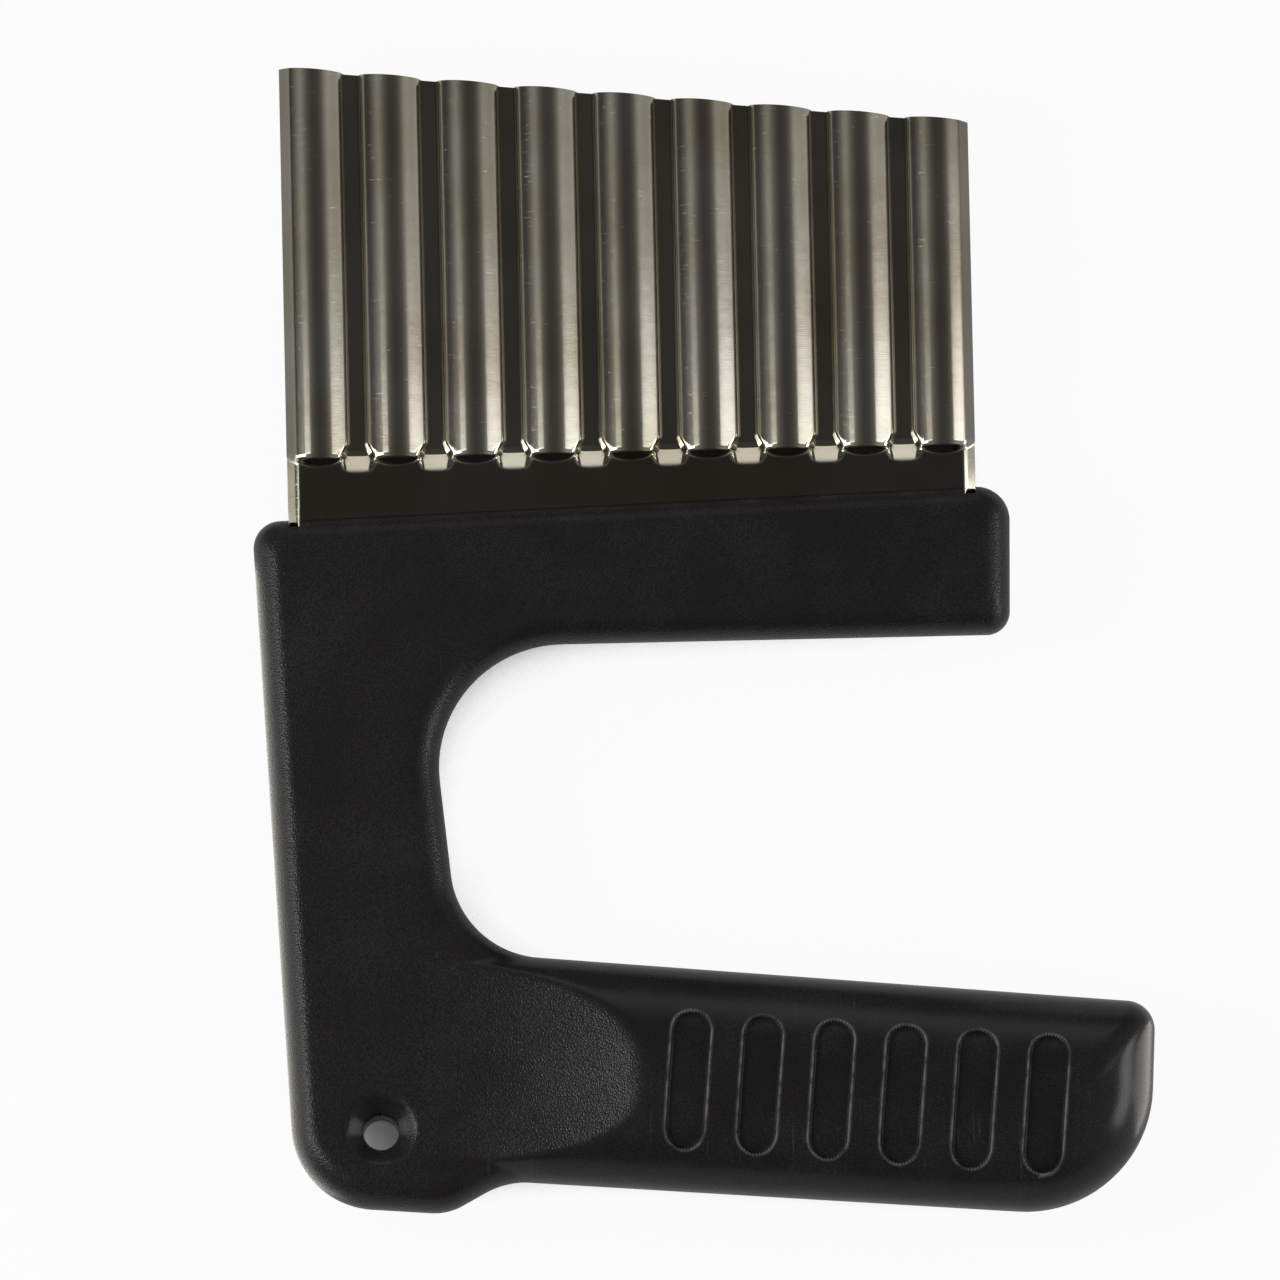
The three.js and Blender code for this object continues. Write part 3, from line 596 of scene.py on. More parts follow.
    # Film and painted shade on the grooves' floors and corners, on the tang and on the lips, darkening them where
    # shade falls
    wall_at = node(MATHS, "MULTIPLY", (half_depth, FILM_AND_PAINTED_SHADE_START))
    corner_at = node(MATHS, "MULTIPLY", (half_depth, FILM_AND_PAINTED_SHADE_THICKEST))
    floor_at = node(MATHS, "MULTIPLY", (half_depth, FILM_AND_PAINTED_SHADE_THINNER))
    clear_to = node(MATHS, "ADD", (wave_to, CLEAN_END))
    in_groove = node(SPAN, None, (sheet_y, wave_to, clear_to, 0.0, 1.0))
    in_corner = node(SPAN, None, (wave_z, wall_at, corner_at, 0.0, CORNER_FILM_AND_PAINTED_SHADE))
    thinner = node(SPAN, None, (wave_z, floor_at, below, 0.0, CORNER_FILM_AND_PAINTED_SHADE - GROOVE_FILM_AND_PAINTED_SHADE))
    groove_painted_shade = node(MATHS, "SUBTRACT", (in_corner, thinner))
    groove_film_and_painted_shade = node(MATHS, "MULTIPLY", (groove_painted_shade, in_groove))
    still_flat = node(SPAN, None, (ended, *FILM_AND_PAINTED_SHADE_LIFT, TANG_FILM_AND_PAINTED_SHADE, 0.0))
    below_ridges = node(SPAN, None, (sheet_y, flat_to, wave_to, FILM_AND_PAINTED_SHADE_FADE, 0.0))
    on_tang = node(MATHS, "MINIMUM", (below_ridges, 1.0))
    tang_film_and_painted_shade = node(MATHS, "MULTIPLY", (still_flat, on_tang))
    either_film_and_painted_shade = node(MATHS, "MAXIMUM", (groove_film_and_painted_shade, tang_film_and_painted_shade))
    lip_film_and_painted_shade = node(SPAN, None, (sheet_y, flat_to, wave_to, 0.0, LIP_FILM_AND_PAINTED_SHADE))
    film = node(MIX, None, {0: on_lip, 2: either_film_and_painted_shade, 3: lip_film_and_painted_shade})
    marked = node(STORE, {"data_type": "FLOAT", "domain": "POINT"},
                  {"Geometry": numbered, "Name": "film", "Value": film})
    sheet = node(PLACE, None, {"Geometry": marked, "Position": placed})

    # Thickness: half to the front, half to the back, less at the ground edge
    half = node(MATHS, "DIVIDE", (size["Thickness"], 2.0))
    behind = node(MATHS, "MULTIPLY", (half, -1.0))
    edge_back = node(MATHS, "SUBTRACT", (half, size["Edge thickness"]))
    kept = node(STORE, {"data_type": "FLOAT_VECTOR", "domain": "POINT"},
                {"Geometry": sheet, "Name": "sheet_normal", "Value": node("GeometryNodeInputNormal")})
    kept_row = node("GeometryNodeInputNamedAttribute", {"data_type": "FLOAT"}, {"Name": "sheet_row"})
    normal = node("GeometryNodeInputNamedAttribute", {"data_type": "FLOAT_VECTOR"}, {"Name": "sheet_normal"})
    back = node(SPAN, None, (kept_row, third, fourth, behind, edge_back))
    wall = node(MATHS, "SUBTRACT", (half, back))
    to_back = node(VECTOR_MATHS, "SCALE", {0: normal, "Scale": back})
    through = node(VECTOR_MATHS, "SCALE", {0: normal, "Scale": wall})
    rear = node(PLACE, None, {"Geometry": kept, "Offset": to_back})
    shell = node("GeometryNodeExtrudeMesh", {"mode": "FACES"},
                 {"Mesh": rear, "Offset Scale": 0.0, "Individual": False})
    front = node(PLACE, None, {"Geometry": shell, "Selection": shell.node.outputs["Top"], "Offset": through})
    both = node("GeometryNodeJoinGeometry", None, (front,))
    tree.links.new(node("GeometryNodeFlipFaces", None, (rear,)), both.node.inputs[0])
    closed = node("GeometryNodeMergeByDistance", None, {"Geometry": both, "Distance": TREE_DOUBLES})
    plain = node("GeometryNodeRemoveAttribute", {"pattern_mode": "WILDCARD"}, {"Geometry": closed, "Name": "sheet_*"})
    smooth = node("GeometryNodeSetShadeSmooth", None, {"Geometry": plain})
    real = node("GeometryNodeRealizeInstances", None, {"Geometry": smooth})
    dressed = node("GeometryNodeSetMaterial", None, {"Geometry": real, "Material": material})
    tree.links.new(dressed, tree.nodes.new("NodeGroupOutput").inputs[0])
    return tree


def made_by(tree, values, name):
    """Runs a generating tree with these inputs and gives its result as a plain mesh on a new object."""
    piece = put(name, bpy.data.meshes.new(name))
    modifier = piece.modifiers.new("made", "NODES")
    modifier.node_group = tree
    for item in tree.interface.items_tree:
        if item.in_out == "INPUT":
            modifier[item.identifier] = values[item.name]
    applied(piece)
    if not piece.data.polygons:
        raise RuntimeError(f"{name}: its tree made no faces")
    return piece


def tidy_mesh(mesh):
    """Merges doubles, turns the faces outwards, splits the shading at sharp edges and counts open edges."""
    work = bmesh.new()
    work.from_mesh(mesh)
    bmesh.ops.remove_doubles(work, verts=work.verts, dist=MESH_DOUBLES)
    bmesh.ops.dissolve_degenerate(work, edges=work.edges, dist=MESH_DOUBLES)
    bmesh.ops.recalc_face_normals(work, faces=work.faces)
    open_edges = sum(not edge.is_manifold for edge in work.edges)
    work.to_mesh(mesh)
    work.free()
    mesh.shade_smooth()
    mesh.set_sharp_from_angle(angle=SHARP_ANGLE)
    return open_edges


# Handle: the outline is a ring of straight sides with round corners, and points are complex numbers

Side = namedtuple("Side", "point along corner round")


def side(point, turned, corner=0.0):
    """A side through a point, with the radius of the corner at its far end and no edge rounding yet."""
    return Side(point, cmath.rect(1, turned), corner, 0.0)


def cross(a, b):
    """Cross product of two directions: above 0 where b turns left of a."""
    return (a.conjugate() * b).imag


def meet(a, b):
    """The point where two sides' lines meet."""
    travel = cross(b.point - a.point, b.along) / cross(a.along, b.along)
    return a.point + travel * a.along


def moved(line, inset):
    """The side moved into the material."""
    return line._replace(point=line.point + 1j * line.along * inset)


def handle_sides(blade, handle):
    """The straight sides of the outline, anticlockwise round the material, by name."""
    h = handle
    east, north, west, south = 0, math.pi / 2, math.pi, 3 * math.pi / 2
    bar_half = blade_half(blade) + h.bar_margin
    sides = {"stem_outer": side(complex(-bar_half, 0), south + h.stem_outer_lean, h.foot_corner)}
    stem_inner = side(complex(h.stem_width - bar_half, 0), north + h.stem_inner_lean, h.gap_corner_bar)
    gap = meet(stem_inner, side(complex(0, -h.finger_gap), east))
    lower_way = h.grip_taper - h.grip_drop
    grip_upper = side(gap, west - h.grip_drop, h.gap_corner_grip)
    grip_tip = meet(grip_upper, side(complex(gap.real + h.grip_length, 0), north))
    grip_lower = side(gap - 1j * h.grip_height, lower_way, h.grip_corner_lower)
    foot_top = meet(grip_lower, side(complex(gap.real + h.foot_start, 0), north))
    sides["foot_bottom"] = side(gap - 1j * (h.grip_height + h.foot_depth), lower_way, h.foot_round)
    sides["foot_side"] = side(foot_top, h.foot_slope, h.foot_blend)
    sides["grip_lower"] = grip_lower
    sides["grip_end"] = side(grip_tip, north - h.grip_end_lean, h.grip_corner_upper)
    sides["grip_upper"] = grip_upper
    sides["stem_inner"] = stem_inner
    sides["bar_inner"] = side(0j, east, h.bar_corner_inner)
    sides["bar_end"] = side(complex(bar_half, 0), north - h.bar_end_lean, h.bar_corner_free)
    sides["bar_top"] = side(complex(0, h.bar_height), west + h.bar_slope, h.bar_corner_stem)
    return {name: line._replace(round=h.edge_round) for name, line in sides.items()}, gap


def corner_arcs(sides, share):
    """The corner arcs of the outline after each side has moved in by a share of its rounding."""
    sunk = [moved(line, line.round * share) for line in sides]
    corners = [meet(line, sunk[(i + 1) % len(sunk)]) for i, line in enumerate(sunk)]
    arcs = []
    for i, line in enumerate(sunk):
        after = sunk[(i + 1) % len(sunk)]
        turn = math.atan2(cross(line.along, after.along), (line.along.conjugate() * after.along).real)
        inset = share * (line.round + after.round) / 2
        tight = max(line.corner - inset, min(line.corner, LEAST_CORNER))
        radius = tight if turn > 0 else line.corner + inset
        start = corners[i] - line.along * radius * math.tan(abs(turn) / 2)
        centre = start + 1j * line.along * math.copysign(radius, turn)
        arcs.append(centre + (start - centre) * np.exp(1j * turn * np.linspace(0, 1, CORNER_STEPS + 1)))
    return arcs


def outline(arcs, pieces):
    """Joins the corner arcs by straight stretches of so many pieces each."""
    points = []
    for i, arc in enumerate(arcs):
        ahead = arcs[(i + 1) % len(arcs)]
        points += [arc, arc[-1] + (ahead[0] - arc[-1]) * np.linspace(0, 1, pieces[i] + 1)[1:-1]]
    return np.concatenate(points)


def dome_share(points, lower, end, upper):
    """How far up the grip's dome each point lies, from 0 on the outline to 1 on the crest, found by halving."""
    lines = (lower, end, upper)
    depth = [((points - line.point) * (1j * line.along).conjugate()).real for line in lines]
    low, high = np.zeros(len(points)), np.ones(len(points))
    for _ in range(DOME_HALVINGS):
        share = (low + high) / 2
        gaps = [d - line.round * share for d, line in zip(depth, lines)]
        inside = np.minimum.reduce(gaps) >= 0
        for a, b in ((0, 1), (1, 2)):
            inset = share * (lines[a].round + lines[b].round) / 2
            radius = np.maximum(lines[a].corner - inset, min(lines[a].corner, LEAST_CORNER))
            cosine = (lines[a].along.conjugate() * lines[b].along).real
            p, q = gaps[a] - radius, gaps[b] - radius
            along_a, along_b = (p - q * cosine) / (1 - cosine ** 2), (q - p * cosine) / (1 - cosine ** 2)
            far = along_a ** 2 + along_b ** 2 + 2 * along_a * along_b * cosine > radius ** 2
            inside &= ~((along_a < 0) & (along_b < 0) & far)
        low, high = np.where(inside, share, low), np.where(inside, high, share)
    return low


def lifted(share, half):
    """Height of an elliptical edge at a share of its width."""
    return half * np.sqrt(np.clip(1 - (1 - np.clip(share, 0, 1)) ** 2, 0, 1))


def softened_least(a, b, softness):
    """The lower of two heights, with the crease between them rounded."""
    near = np.clip(softness - np.abs(a - b), 0, None) / softness
    return np.minimum(a, b) - softness / 4 * near ** 2


class HandleShape:
    """Heights of the moulding's front face over its outline. The back is the same, mirrored."""

    def __init__(self, blade, handle):
        h = self.sizes = handle
        sides, self.gap = handle_sides(blade, h)
        self.sides = list(sides.values())
        self.stem_half, self.grip_half = h.stem_thickness / 2, h.grip_thickness / 2
        narrowing = math.tan(h.grip_drop) - math.tan(h.grip_drop - h.grip_taper)
        tip = (h.grip_height - h.grip_length * narrowing) * math.cos(h.grip_drop)
        middle = (tip - h.crest_width) / 2
        self.dome = (
            sides["grip_lower"]._replace(round=middle - h.crest_offset),
            sides["grip_end"]._replace(round=h.grip_end_round),
            sides["grip_upper"]._replace(round=middle + h.crest_offset))
        self.floor = tuple(moved(line, h.recess_depth)._replace(round=line.round - h.recess_depth)
                           for line in self.dome)
        self.axis = cmath.rect(1, h.grip_taper / 2 - h.grip_drop)
        root = self.gap - 0.5j * h.grip_height - 1j * self.axis * h.recess_offset
        self.recesses = [root + self.axis * (h.recess_first + k * h.recess_pitch) for k in range(h.recesses)]
        self.hole = meet(moved(sides["stem_outer"], h.hole_from_edge), moved(sides["foot_bottom"], h.hole_from_foot))
        self.recess_straight = (h.recess_length - h.recess_width) / 2
        self.rise = self.grip_half - self.stem_half
        self.ramp_start = self.gap.real + h.ramp_crest - h.ramp_length

    def ramp(self, points):
        """A cove that leaves the stem's face level and goes on rising past the crest."""
        h = self.sizes
        travel = np.clip(points.real - self.ramp_start, 0, None)
        radius = (h.ramp_length ** 2 + self.rise ** 2) / (2 * self.rise)
        steep = h.ramp_length / (radius - self.rise)
        curved = radius - np.sqrt(radius ** 2 - np.minimum(travel, h.ramp_length) ** 2)
        return self.stem_half + curved + steep * np.clip(travel - h.ramp_length, 0, None)

    def recess(self, points):
        """Distance inside the rim of the nearest recess, below 0 outside it."""
        spine = []
        for place in self.recesses:
            local = (points - place) * self.axis.conjugate()
            spine.append(np.hypot(local.real, np.clip(np.abs(local.imag) - self.recess_straight, 0, None)))
        return self.sizes.recess_width / 2 - np.minimum.reduce(spine)

    def grip(self, points):
        """The domed grip with its recesses, and how much of it is dome and not ramp."""
        dome = lifted(dome_share(points, *self.dome), self.grip_half)
        ramp = self.ramp(points)
        sunk = lifted(dome_share(points, *self.floor), self.grip_half - self.sizes.recess_depth)
        wall = np.clip(self.recess(points) / RECESS_WALL, 0, 1)
        dome = dome + (np.minimum(sunk, dome) - dome) * wall ** 2 * (3 - 2 * wall)
        smooth = np.where(dome > 0, np.clip((ramp - dome) / RAMP_EDGE + 0.5, 0, 1), 0)
        return softened_least(dome, ramp, RAMP_EDGE), smooth

    def funnel(self, points):
        """The countersunk flare of the hanging hole, going on past its rim."""
        from_rim = np.abs(points - self.hole) - self.sizes.hole_rim / 2
        return self.stem_half + from_rim * math.tan(self.sizes.hole_lean)

    def heights(self, points, share):
        """Front heights at points whose share of the edge's rounding is known."""
        plate = lifted(share, self.stem_half)
        grip, _ = self.grip(points)
        face = np.where(points.real > self.ramp_start, np.maximum(plate, grip), plate)
        return np.maximum(softened_least(face, self.funnel(points), HOLE_EDGE), 0)


def inside_ring(points, ring):
    """Which points lie inside a closed ring."""
    result = np.zeros(len(points), bool)
    for a, b in zip(ring, np.roll(ring, -1)):
        spans = (a.imag > points.imag) != (b.imag > points.imag)
        if spans.any():
            at = a.real + (points.imag - a.imag) * (b.real - a.real) / (b.imag - a.imag)
            result ^= spans & (points.real < at)
    return result


def lattice(low, high, step):
    """Points of a triangular lattice over a box."""
    rows = np.arange(low.imag, high.imag, step * math.sqrt(3) / 2)
    return np.concatenate([
        np.arange(low.real + (i % 2) * step / 2, high.real, step) + 1j * y for i, y in enumerate(rows)])


def recess_rows(shape):
    """Closed rows of points along the walls of the recesses."""
    straight = shape.recess_straight
    rows = []
    for place in shape.recesses:
        for inset in RECESS_ROWS:
            radius = shape.sizes.recess_width / 2 - inset
            turn = np.linspace(0, math.pi, max(RECESS_LEAST_STEPS, round(math.pi * radius / RECESS_STEP)))
            end = radius * np.exp(1j * turn) + 1j * straight
            flank = -radius + 1j * np.linspace(straight, -straight, round(2 * straight / RECESS_STEP))[1:-1]
            half = np.concatenate([end, flank])
            rows.append(place + shape.axis * np.concatenate([half, -half]))
    return np.concatenate(rows)


def inner_points(shape, ring, hole_rows):
    """Points between the outline's innermost ring and the hole: fine on the grip, sparse on flat faces."""
    walls = recess_rows(shape)
    low = complex(ring.real.min(), ring.imag.min())
    high = complex(ring.real.max(), ring.imag.max())
    fine, coarse = lattice(low, high, GRIP_STEP), lattice(low, high, FLAT_STEP)
    on_ramp = lambda points: (points.real > shape.ramp_start) & (points.imag < shape.gap.imag + FLAT_STEP)
    spread = np.concatenate([fine[on_ramp(fine)], coarse[~on_ramp(coarse)]])
    rim = shape.recess(spread)
    clear = (rim < RECESS_ROWS[0] - GRIP_STEP / 2) | (rim > RECESS_ROWS[-1] + GRIP_STEP / 2)
    clear &= np.abs(spread - shape.hole) > np.abs(hole_rows - shape.hole).max() + FLAT_STEP / 2
    spread = spread[clear & inside_ring(spread, ring)]
    room = np.where(on_ramp(spread), GRIP_STEP, FLAT_STEP) / 2
    nearest = np.full(len(spread), np.inf)
    for corner in ring:
        nearest = np.minimum(nearest, np.abs(spread - corner))
    return np.concatenate([walls[inside_ring(walls, ring)], spread[nearest > room]])


def moulding_mesh(shape, origin):
    """A closed mesh of the moulding: edge rings, a triangulated face, and their mirror image."""
    plain = corner_arcs(shape.sides, 0)
    pieces = [max(1, round(abs(plain[(i + 1) % len(plain)][0] - arc[-1]) / OUTLINE_STEP))
              for i, arc in enumerate(plain)]
    shares = 1 - np.cos(np.linspace(0, math.pi / 2, EDGE_RINGS + 1))
    rings = [outline(corner_arcs(shape.sides, s), pieces) for s in shares]
    around = len(rings[0])

    h = shape.sizes
    radii = [h.hole_throat / 2, *np.linspace(h.hole_throat / 2 + HOLE_WALL, h.hole_rim / 2, HOLE_RINGS)]
    radii += [radii[-1] + HOLE_EDGE * k for k in HOLE_EDGE_ROWS]
    turn = np.exp(2j * math.pi * np.arange(HOLE_SIDES) / HOLE_SIDES)
    throat = shape.hole + radii[0] * turn
    funnel = np.concatenate([shape.hole + r * turn * np.exp(1j * math.pi * i / HOLE_SIDES)
                             for i, r in enumerate(radii[1:], 1)])

    inner = inner_points(shape, rings[-1], funnel)
    flat = np.concatenate([rings[-1], throat, funnel, inner])
    loop = lambda first, size: [(first + i, first + (i + 1) % size) for i in range(size)]
    borders = loop(0, around) + loop(around, HOLE_SIDES)
    # Output kind 1 keeps the triangles inside the borders
    spots, _, faces, sources, _, _ = delaunay_2d_cdt(
        [Vector((p.real, p.imag)) for p in flat], borders, [], 1, FACE_DOUBLES)
    if len(spots) != len(flat):
        raise RuntimeError("the handle's face points don't stay apart")
    triangles = np.array([source[0] for source in sources])[np.array(faces)]
    in_throat = ((triangles >= around) & (triangles < around + HOLE_SIDES)).all(axis=1)
    triangles = triangles[~in_throat] + EDGE_RINGS * around

    points = np.concatenate(rings[:-1] + [flat])
    share = np.concatenate([np.full(around, s) for s in shares[:-1]] + [np.ones(len(flat))])
    height = shape.heights(points, share)
    rim = np.zeros(len(points), bool)
    rim[:around] = True
    rim[(EDGE_RINGS + 1) * around:(EDGE_RINGS + 1) * around + HOLE_SIDES] = True
    height[rim] = 0
    steps = np.arange(around)
    ahead = (steps + 1) % around
    strips = [around * r + np.stack([steps, ahead, around + ahead, around + steps], 1) for r in range(EDGE_RINGS)]
    front = np.stack([points.real, points.imag, height], 1)
    mirrored = np.arange(len(points))
    mirrored[~rim] = len(points) + np.arange((~rim).sum())
    back = front[~rim] * (1, 1, -1)
    polygons = [list(map(int, q)) for q in np.concatenate(strips)] + [list(map(int, t)) for t in triangles]
    polygons += [[int(mirrored[i]) for i in reversed(p)] for p in polygons]
    mesh = bpy.data.meshes.new("moulding")
    mesh.from_pydata((np.concatenate([front, back]) + np.array(origin)).tolist(), [], polygons)
    return mesh


def box_mesh(low, high):
    """A box between two corners."""
    work = bmesh.new()
    bmesh.ops.create_cube(work, size=1)
    for vertex in work.verts:
        vertex.co = [(a + b) / 2 + c * (b - a) for a, b, c in zip(low, high, vertex.co)]
    mesh = bpy.data.meshes.new("cut")
    work.to_mesh(mesh)
    work.free()
    return mesh


def blade_cuts(blade, handle, origin):
    """The tang's pocket and a notch for the lip at either end, as boxes."""
    b, h = blade, handle
    outer = blade_half(b)
    inner = outer - b.lip_width
    half = b.thickness / 2 + h.mould_gap
    above = h.bar_height + b.tang_show
    foot = tang_foot(b, h) - h.mould_gap
    boxes = [((-inner - h.mould_gap, foot, -half), (inner + h.mould_gap, above, half))]
    for hand in (-1, 1):
        left, right = sorted((hand * (inner - h.mould_gap), hand * (outer + h.mould_gap)))
        seat = h.bar_height + hand * outer * math.tan(h.bar_slope) - b.lip_seat - h.mould_gap
        boxes.append(((left, seat, -b.lip_depth - half), (right, above, h.stem_thickness)))
    return [box_mesh(Vector(low) + origin, Vector(high) + origin) for low, high in boxes]


def cut_away(piece, cutters):
    """Takes the cutters' space out of a piece and leaves it with a plain mesh."""
    tools = [put("cut", mesh) for mesh in cutters]
    for tool in tools:
        cut = piece.modifiers.new("cut", "BOOLEAN")
        cut.operation, cut.solver, cut.object = "DIFFERENCE", "EXACT", tool
    applied(piece)
    for tool in tools:
        bpy.data.objects.remove(tool)


# Operators

class CRINKLE_OT_blade(bpy.types.Operator):
    """Builds the corrugated blade"""
    bl_idname = "crinkle.blade"
    bl_label = "Blade"

    def execute(self, context):
        blade, handle = context.scene.crinkle_blade, context.scene.crinkle_handle
        values = {
            "Ridges": blade.ridges, "Pitch": blade.pitch, "Depth": blade.depth, "Ridge radius": blade.ridge_radius,
            "Wall place": blade.wall_place, "Wall slope": math.tan(blade.wall_lean),
            "Shoulder": blade.shoulder, "Fillet": blade.fillet,
            "Groove mouth": blade.groove_mouth, "Mouth flare": blade.mouth_flare,
            "Ridge nose": blade.ridge_nose, "Ridge rise": blade.run_out - blade.ridge_lag,
            "Thickness": blade.thickness, "Lip start": blade.lip_start,
            "Lip width": blade.lip_width, "Lip depth": blade.lip_depth,
            "Tang foot": tang_foot(blade, handle), "Tang length": blade.tang_depth + blade.tang_show,
            "Run-out": blade.run_out, "Ridge lag": blade.ridge_lag, "Groove curve": blade.groove_curve,
            "Edge height": handle.bar_height + blade.show, "Edge slope": -math.tan(blade.edge_slant),
            "Bevel": blade.bevel, "Edge thickness": blade.edge_thickness,
            "Lip seat": handle.bar_height - blade.lip_seat, "Seat slope": math.tan(handle.bar_slope),
            "Origin": drawing_origin(blade, handle)}
        lip_columns = RIDGE_SHARE * blade.lip_start / (blade.wall_place - WALL_ZONE) * COLUMNS_PER_RIDGE + LIP_COLUMNS
        columns = round((blade.ridges - 1) * COLUMNS_PER_RIDGE + 2 * lip_columns) + 1
        tree = corrugated_sheet_tree(rolled_stainless(blade), columns, values)
        piece = made_by(tree, values, "corrugated_blade")
        if tidy_mesh(piece.data):
            raise RuntimeError("the blade's mesh isn't closed")
        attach(piece, BODY)
        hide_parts("blade")
        return {"FINISHED"}


class CRINKLE_OT_handle(bpy.types.Operator):
    """Builds the moulded handle"""
    bl_idname = "crinkle.handle"
    bl_label = "Handle"

    def execute(self, context):
        blade, handle = context.scene.crinkle_blade, context.scene.crinkle_handle
        origin = drawing_origin(blade, handle)
        shape = HandleShape(blade, handle)
        piece = put("moulded_handle", moulding_mesh(shape, origin))
        if tidy_mesh(piece.data):
            raise RuntimeError("the moulding's mesh isn't closed")
        cut_away(piece, blade_cuts(blade, handle, origin))
        if tidy_mesh(piece.data):
            raise RuntimeError("the handle's mesh isn't closed")
        spots = np.array([vertex.co for vertex in piece.data.vertices]) - np.array(origin)
        flat = spots[:, 0] + 1j * spots[:, 1]
        _, polished = shape.grip(flat)
        on_grip = (flat.real > shape.ramp_start) & (flat.imag < shape.gap.imag)
        in_hole = np.abs(flat - shape.hole) < handle.hole_rim / 2
        mark(piece.data, "polish", np.where(on_grip, polished, in_hole))
        # A painted highlight along each recess's rim
        mark(piece.data, "rim", np.clip(RIM_LEVEL - np.abs(shape.recess(flat)) / RIM_HIGHLIGHT_HALF_WIDTH, 0, 1))
        piece.data.materials.append(moulded_polypropylene(handle))
        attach(piece, BODY)
        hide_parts("handle")
        return {"FINISHED"}


# Stage

def floor_mesh():
    """A flat square just below the tool."""
    half, z = FLOOR_SIZE / 2, CAD_BOX[0].z - FLOOR_GAP
    mesh = bpy.data.meshes.new("floor")
    mesh.from_pydata([(-half, -half, z), (half, -half, z), (half, half, z), (-half, half, z)], [], [(0, 1, 2, 3)])
    return mesh


def pale_floor(settings):
    """Matte paper sweep: white to the camera and grey in metal and gloss. It shows a little of the shadow,
    and all of it close below the tool."""
    material, tree, shader = new_material("matte_paper_sweep")
    tree.nodes.remove(shader)
    node = partial(add, tree)
    paper = node("ShaderNodeBsdfDiffuse", None, {"Color": (*settings.floor, 1)})
    white = node("ShaderNodeEmission", None, {"Color": (1, 1, 1, 1), "Strength": 1.0})
    seen = node("ShaderNodeLightPath").node.outputs
    weaker = node(MATHS, "MULTIPLY", (seen["Is Glossy Ray"], settings.mirrored))
    either = node(MATHS, "MAXIMUM", (seen["Is Camera Ray"], weaker))
    uncovered = node("ShaderNodeAmbientOcclusion", None, {"Distance": COVER_REACH}, out=1)
    clear = node(SPAN, None, (uncovered, *COVER_OPEN, 0.0, 1 - settings.shadow))
    lit = node(MATHS, "MULTIPLY", (either, clear))
    mixed = node("ShaderNodeMixShader", None, (lit, paper, white))
    fill(tree, tree.nodes["Material Output"], {"Surface": mixed})
    return material


def tent_glow():
    """Glowing tent: light that only glossy surfaces see, dark overhead and paler to the sides."""
    material, tree, shader = new_material("tent_glow_seen_in_gloss")
    tree.nodes.remove(shader)
    shade = add(tree, ATTRIBUTE, {"attribute_name": "shade"}, out=2)
    glow = add(tree, "ShaderNodeEmission", None, {"Color": (*linear("#fdfbf4"), 1), "Strength": shade})
    fill(tree, tree.nodes["Material Output"], {"Surface": glow})
    return material


def tent_mesh():
    """A barrel vault along Y with closed ends, a pale strip at the end that the blade points to, and glowing floor
    cards.
    """
    turns = [math.radians(degrees) for degrees, _ in TENT_SHADES]
    points = [(TENT_RADIUS * math.cos(turn), y, TENT_RADIUS * math.sin(turn))
              for y in (TENT_FROM, TENT_TO) for turn in turns]
    shades = [shade for _, shade in TENT_SHADES] * 2
    size = len(turns)
    faces = [(i, i + 1, size + i + 1, size + i) for i in range(size - 1)]
    for y, half, rows in ((TENT_FROM, TENT_RADIUS, TENT_NEAR), (TENT_TO, TENT_RADIUS, TENT_FAR),
                          (STRIP_AT, STRIP_HALF, TENT_STRIP)):
        for i, (z, shade) in enumerate(rows):
            if i:
                faces.append((len(points) - 2, len(points) - 1, len(points) + 1, len(points)))
            points += [(-half, y, z), (half, y, z)]
            shades += [shade] * 2
    for (x0, y0), (x1, y1), shade in TENT_CARDS:
        faces.append(tuple(range(len(points), len(points) + 4)))
        points += [(x0, y0, 0), (x1, y0, 0), (x1, y1, 0), (x0, y1, 0)]
        shades += [shade] * 4
    mesh = bpy.data.meshes.new("tent")
    mesh.from_pydata(points, [], faces)
    mark(mesh, "shade", shades)
    return mesh


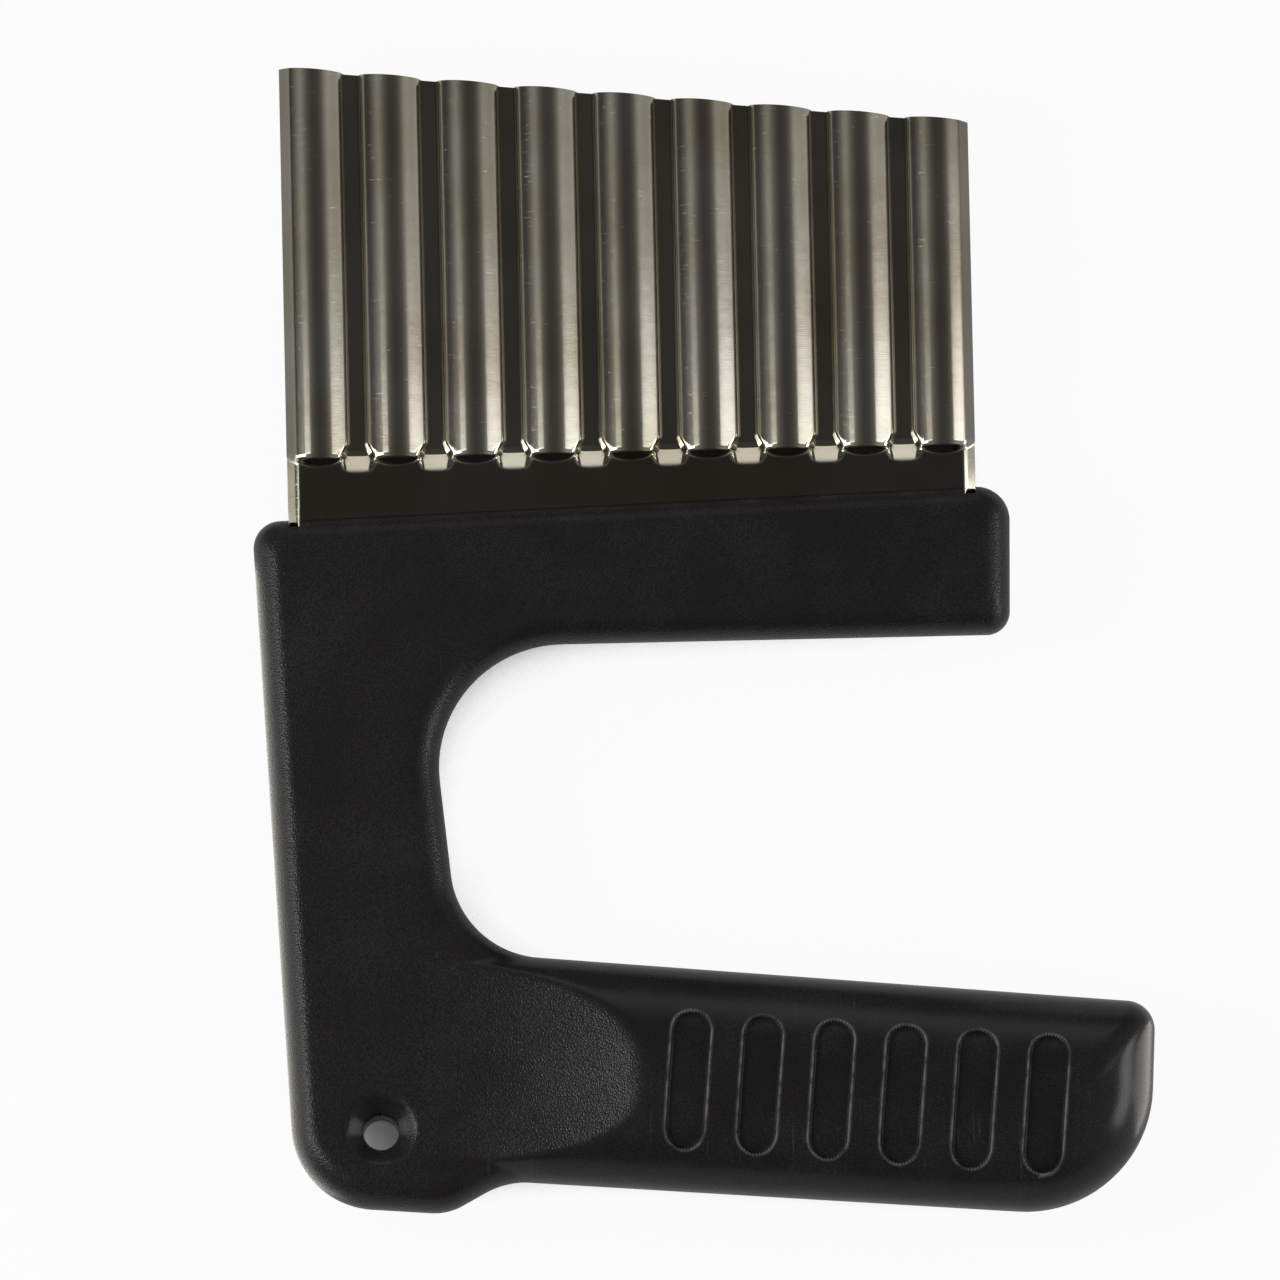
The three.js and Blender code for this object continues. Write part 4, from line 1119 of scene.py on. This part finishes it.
class CRINKLE_OT_stage(bpy.types.Operator):
    """Sets up the camera, the lights and the floor"""
    bl_idname = "crinkle.stage"
    bl_label = "Stage"

    def execute(self, context):
        scene, settings = context.scene, context.scene.crinkle_stage
        scene.view_settings.view_transform = "Standard"

        lens = bpy.data.cameras.new("camera")
        lens.sensor_width = SENSOR
        lens.lens = lens.sensor_width * settings.distance / settings.field
        lens.clip_end = FAR_CLIP
        camera = bpy.data.objects.new("camera", lens)
        scene.collection.objects.link(camera)
        scene.camera = camera
        middle = Vector((settings.middle_x, settings.middle_y, (CAD_BOX[0].z + CAD_BOX[1].z) / 2))
        lean = Matrix.Rotation(settings.tilt, 4, "X") @ Matrix.Rotation(-settings.roll, 4, "Z")
        camera.matrix_world = Matrix.Translation(middle) @ lean @ Matrix.Translation((0, 0, settings.distance))

        floor = put("floor", floor_mesh())
        floor.data.materials.append(pale_floor(settings))
        tent = put("tent", tent_mesh())
        tent.data.materials.append(tent_glow())
        tent.visible_camera = False
        tent.visible_diffuse = False
        tent.visible_shadow = False

        for name, place, width, height, power in LAMPS:
            lamp = bpy.data.lights.new(name, "AREA")
            lamp.shape, lamp.size, lamp.size_y, lamp.energy = "RECTANGLE", width, height, power
            box = bpy.data.objects.new(name, lamp)
            scene.collection.objects.link(box)
            box.location = place
            box.rotation_euler = Vector((place[0], 0, place[2])).to_track_quat("Z", "Y").to_euler()

        world = bpy.data.worlds.new("studio")
        scene.world = world
        world.use_nodes = True
        fill(world.node_tree, world.node_tree.nodes["Background"], {"Color": (WORLD_GREY, WORLD_GREY, WORLD_GREY, 1)})
        return {"FINISHED"}


class CRINKLE_PT_sidebar(bpy.types.Panel):
    """Builds the cutter piece by piece"""
    bl_idname = "CRINKLE_PT_sidebar"
    bl_label = "Crinkle cutter"
    bl_space_type = "VIEW_3D"
    bl_region_type = "UI"
    bl_category = "Crinkle cutter"

    def draw(self, context):
        for operator, settings in (
                (CRINKLE_OT_stage, context.scene.crinkle_stage),
                (CRINKLE_OT_blade, context.scene.crinkle_blade),
                (CRINKLE_OT_handle, context.scene.crinkle_handle)):
            box = self.layout.box()
            box.operator(operator.bl_idname)
            for name in settings.__annotations__:
                box.prop(settings, name)


CLASSES = (
    BladeSettings, HandleSettings, StageSettings,
    CRINKLE_OT_stage, CRINKLE_OT_blade, CRINKLE_OT_handle, CRINKLE_PT_sidebar)


def register():
    for cls in CLASSES:
        bpy.utils.register_class(cls)
    bpy.types.Scene.crinkle_blade = bpy.props.PointerProperty(type=BladeSettings)
    bpy.types.Scene.crinkle_handle = bpy.props.PointerProperty(type=HandleSettings)
    bpy.types.Scene.crinkle_stage = bpy.props.PointerProperty(type=StageSettings)


def unregister():
    del bpy.types.Scene.crinkle_stage
    del bpy.types.Scene.crinkle_handle
    del bpy.types.Scene.crinkle_blade
    for cls in reversed(CLASSES):
        bpy.utils.unregister_class(cls)


def main():
    register()
    bpy.ops.crinkle.stage()
    bpy.ops.crinkle.blade()
    bpy.ops.crinkle.handle()


if __name__ == "__main__":
    main()
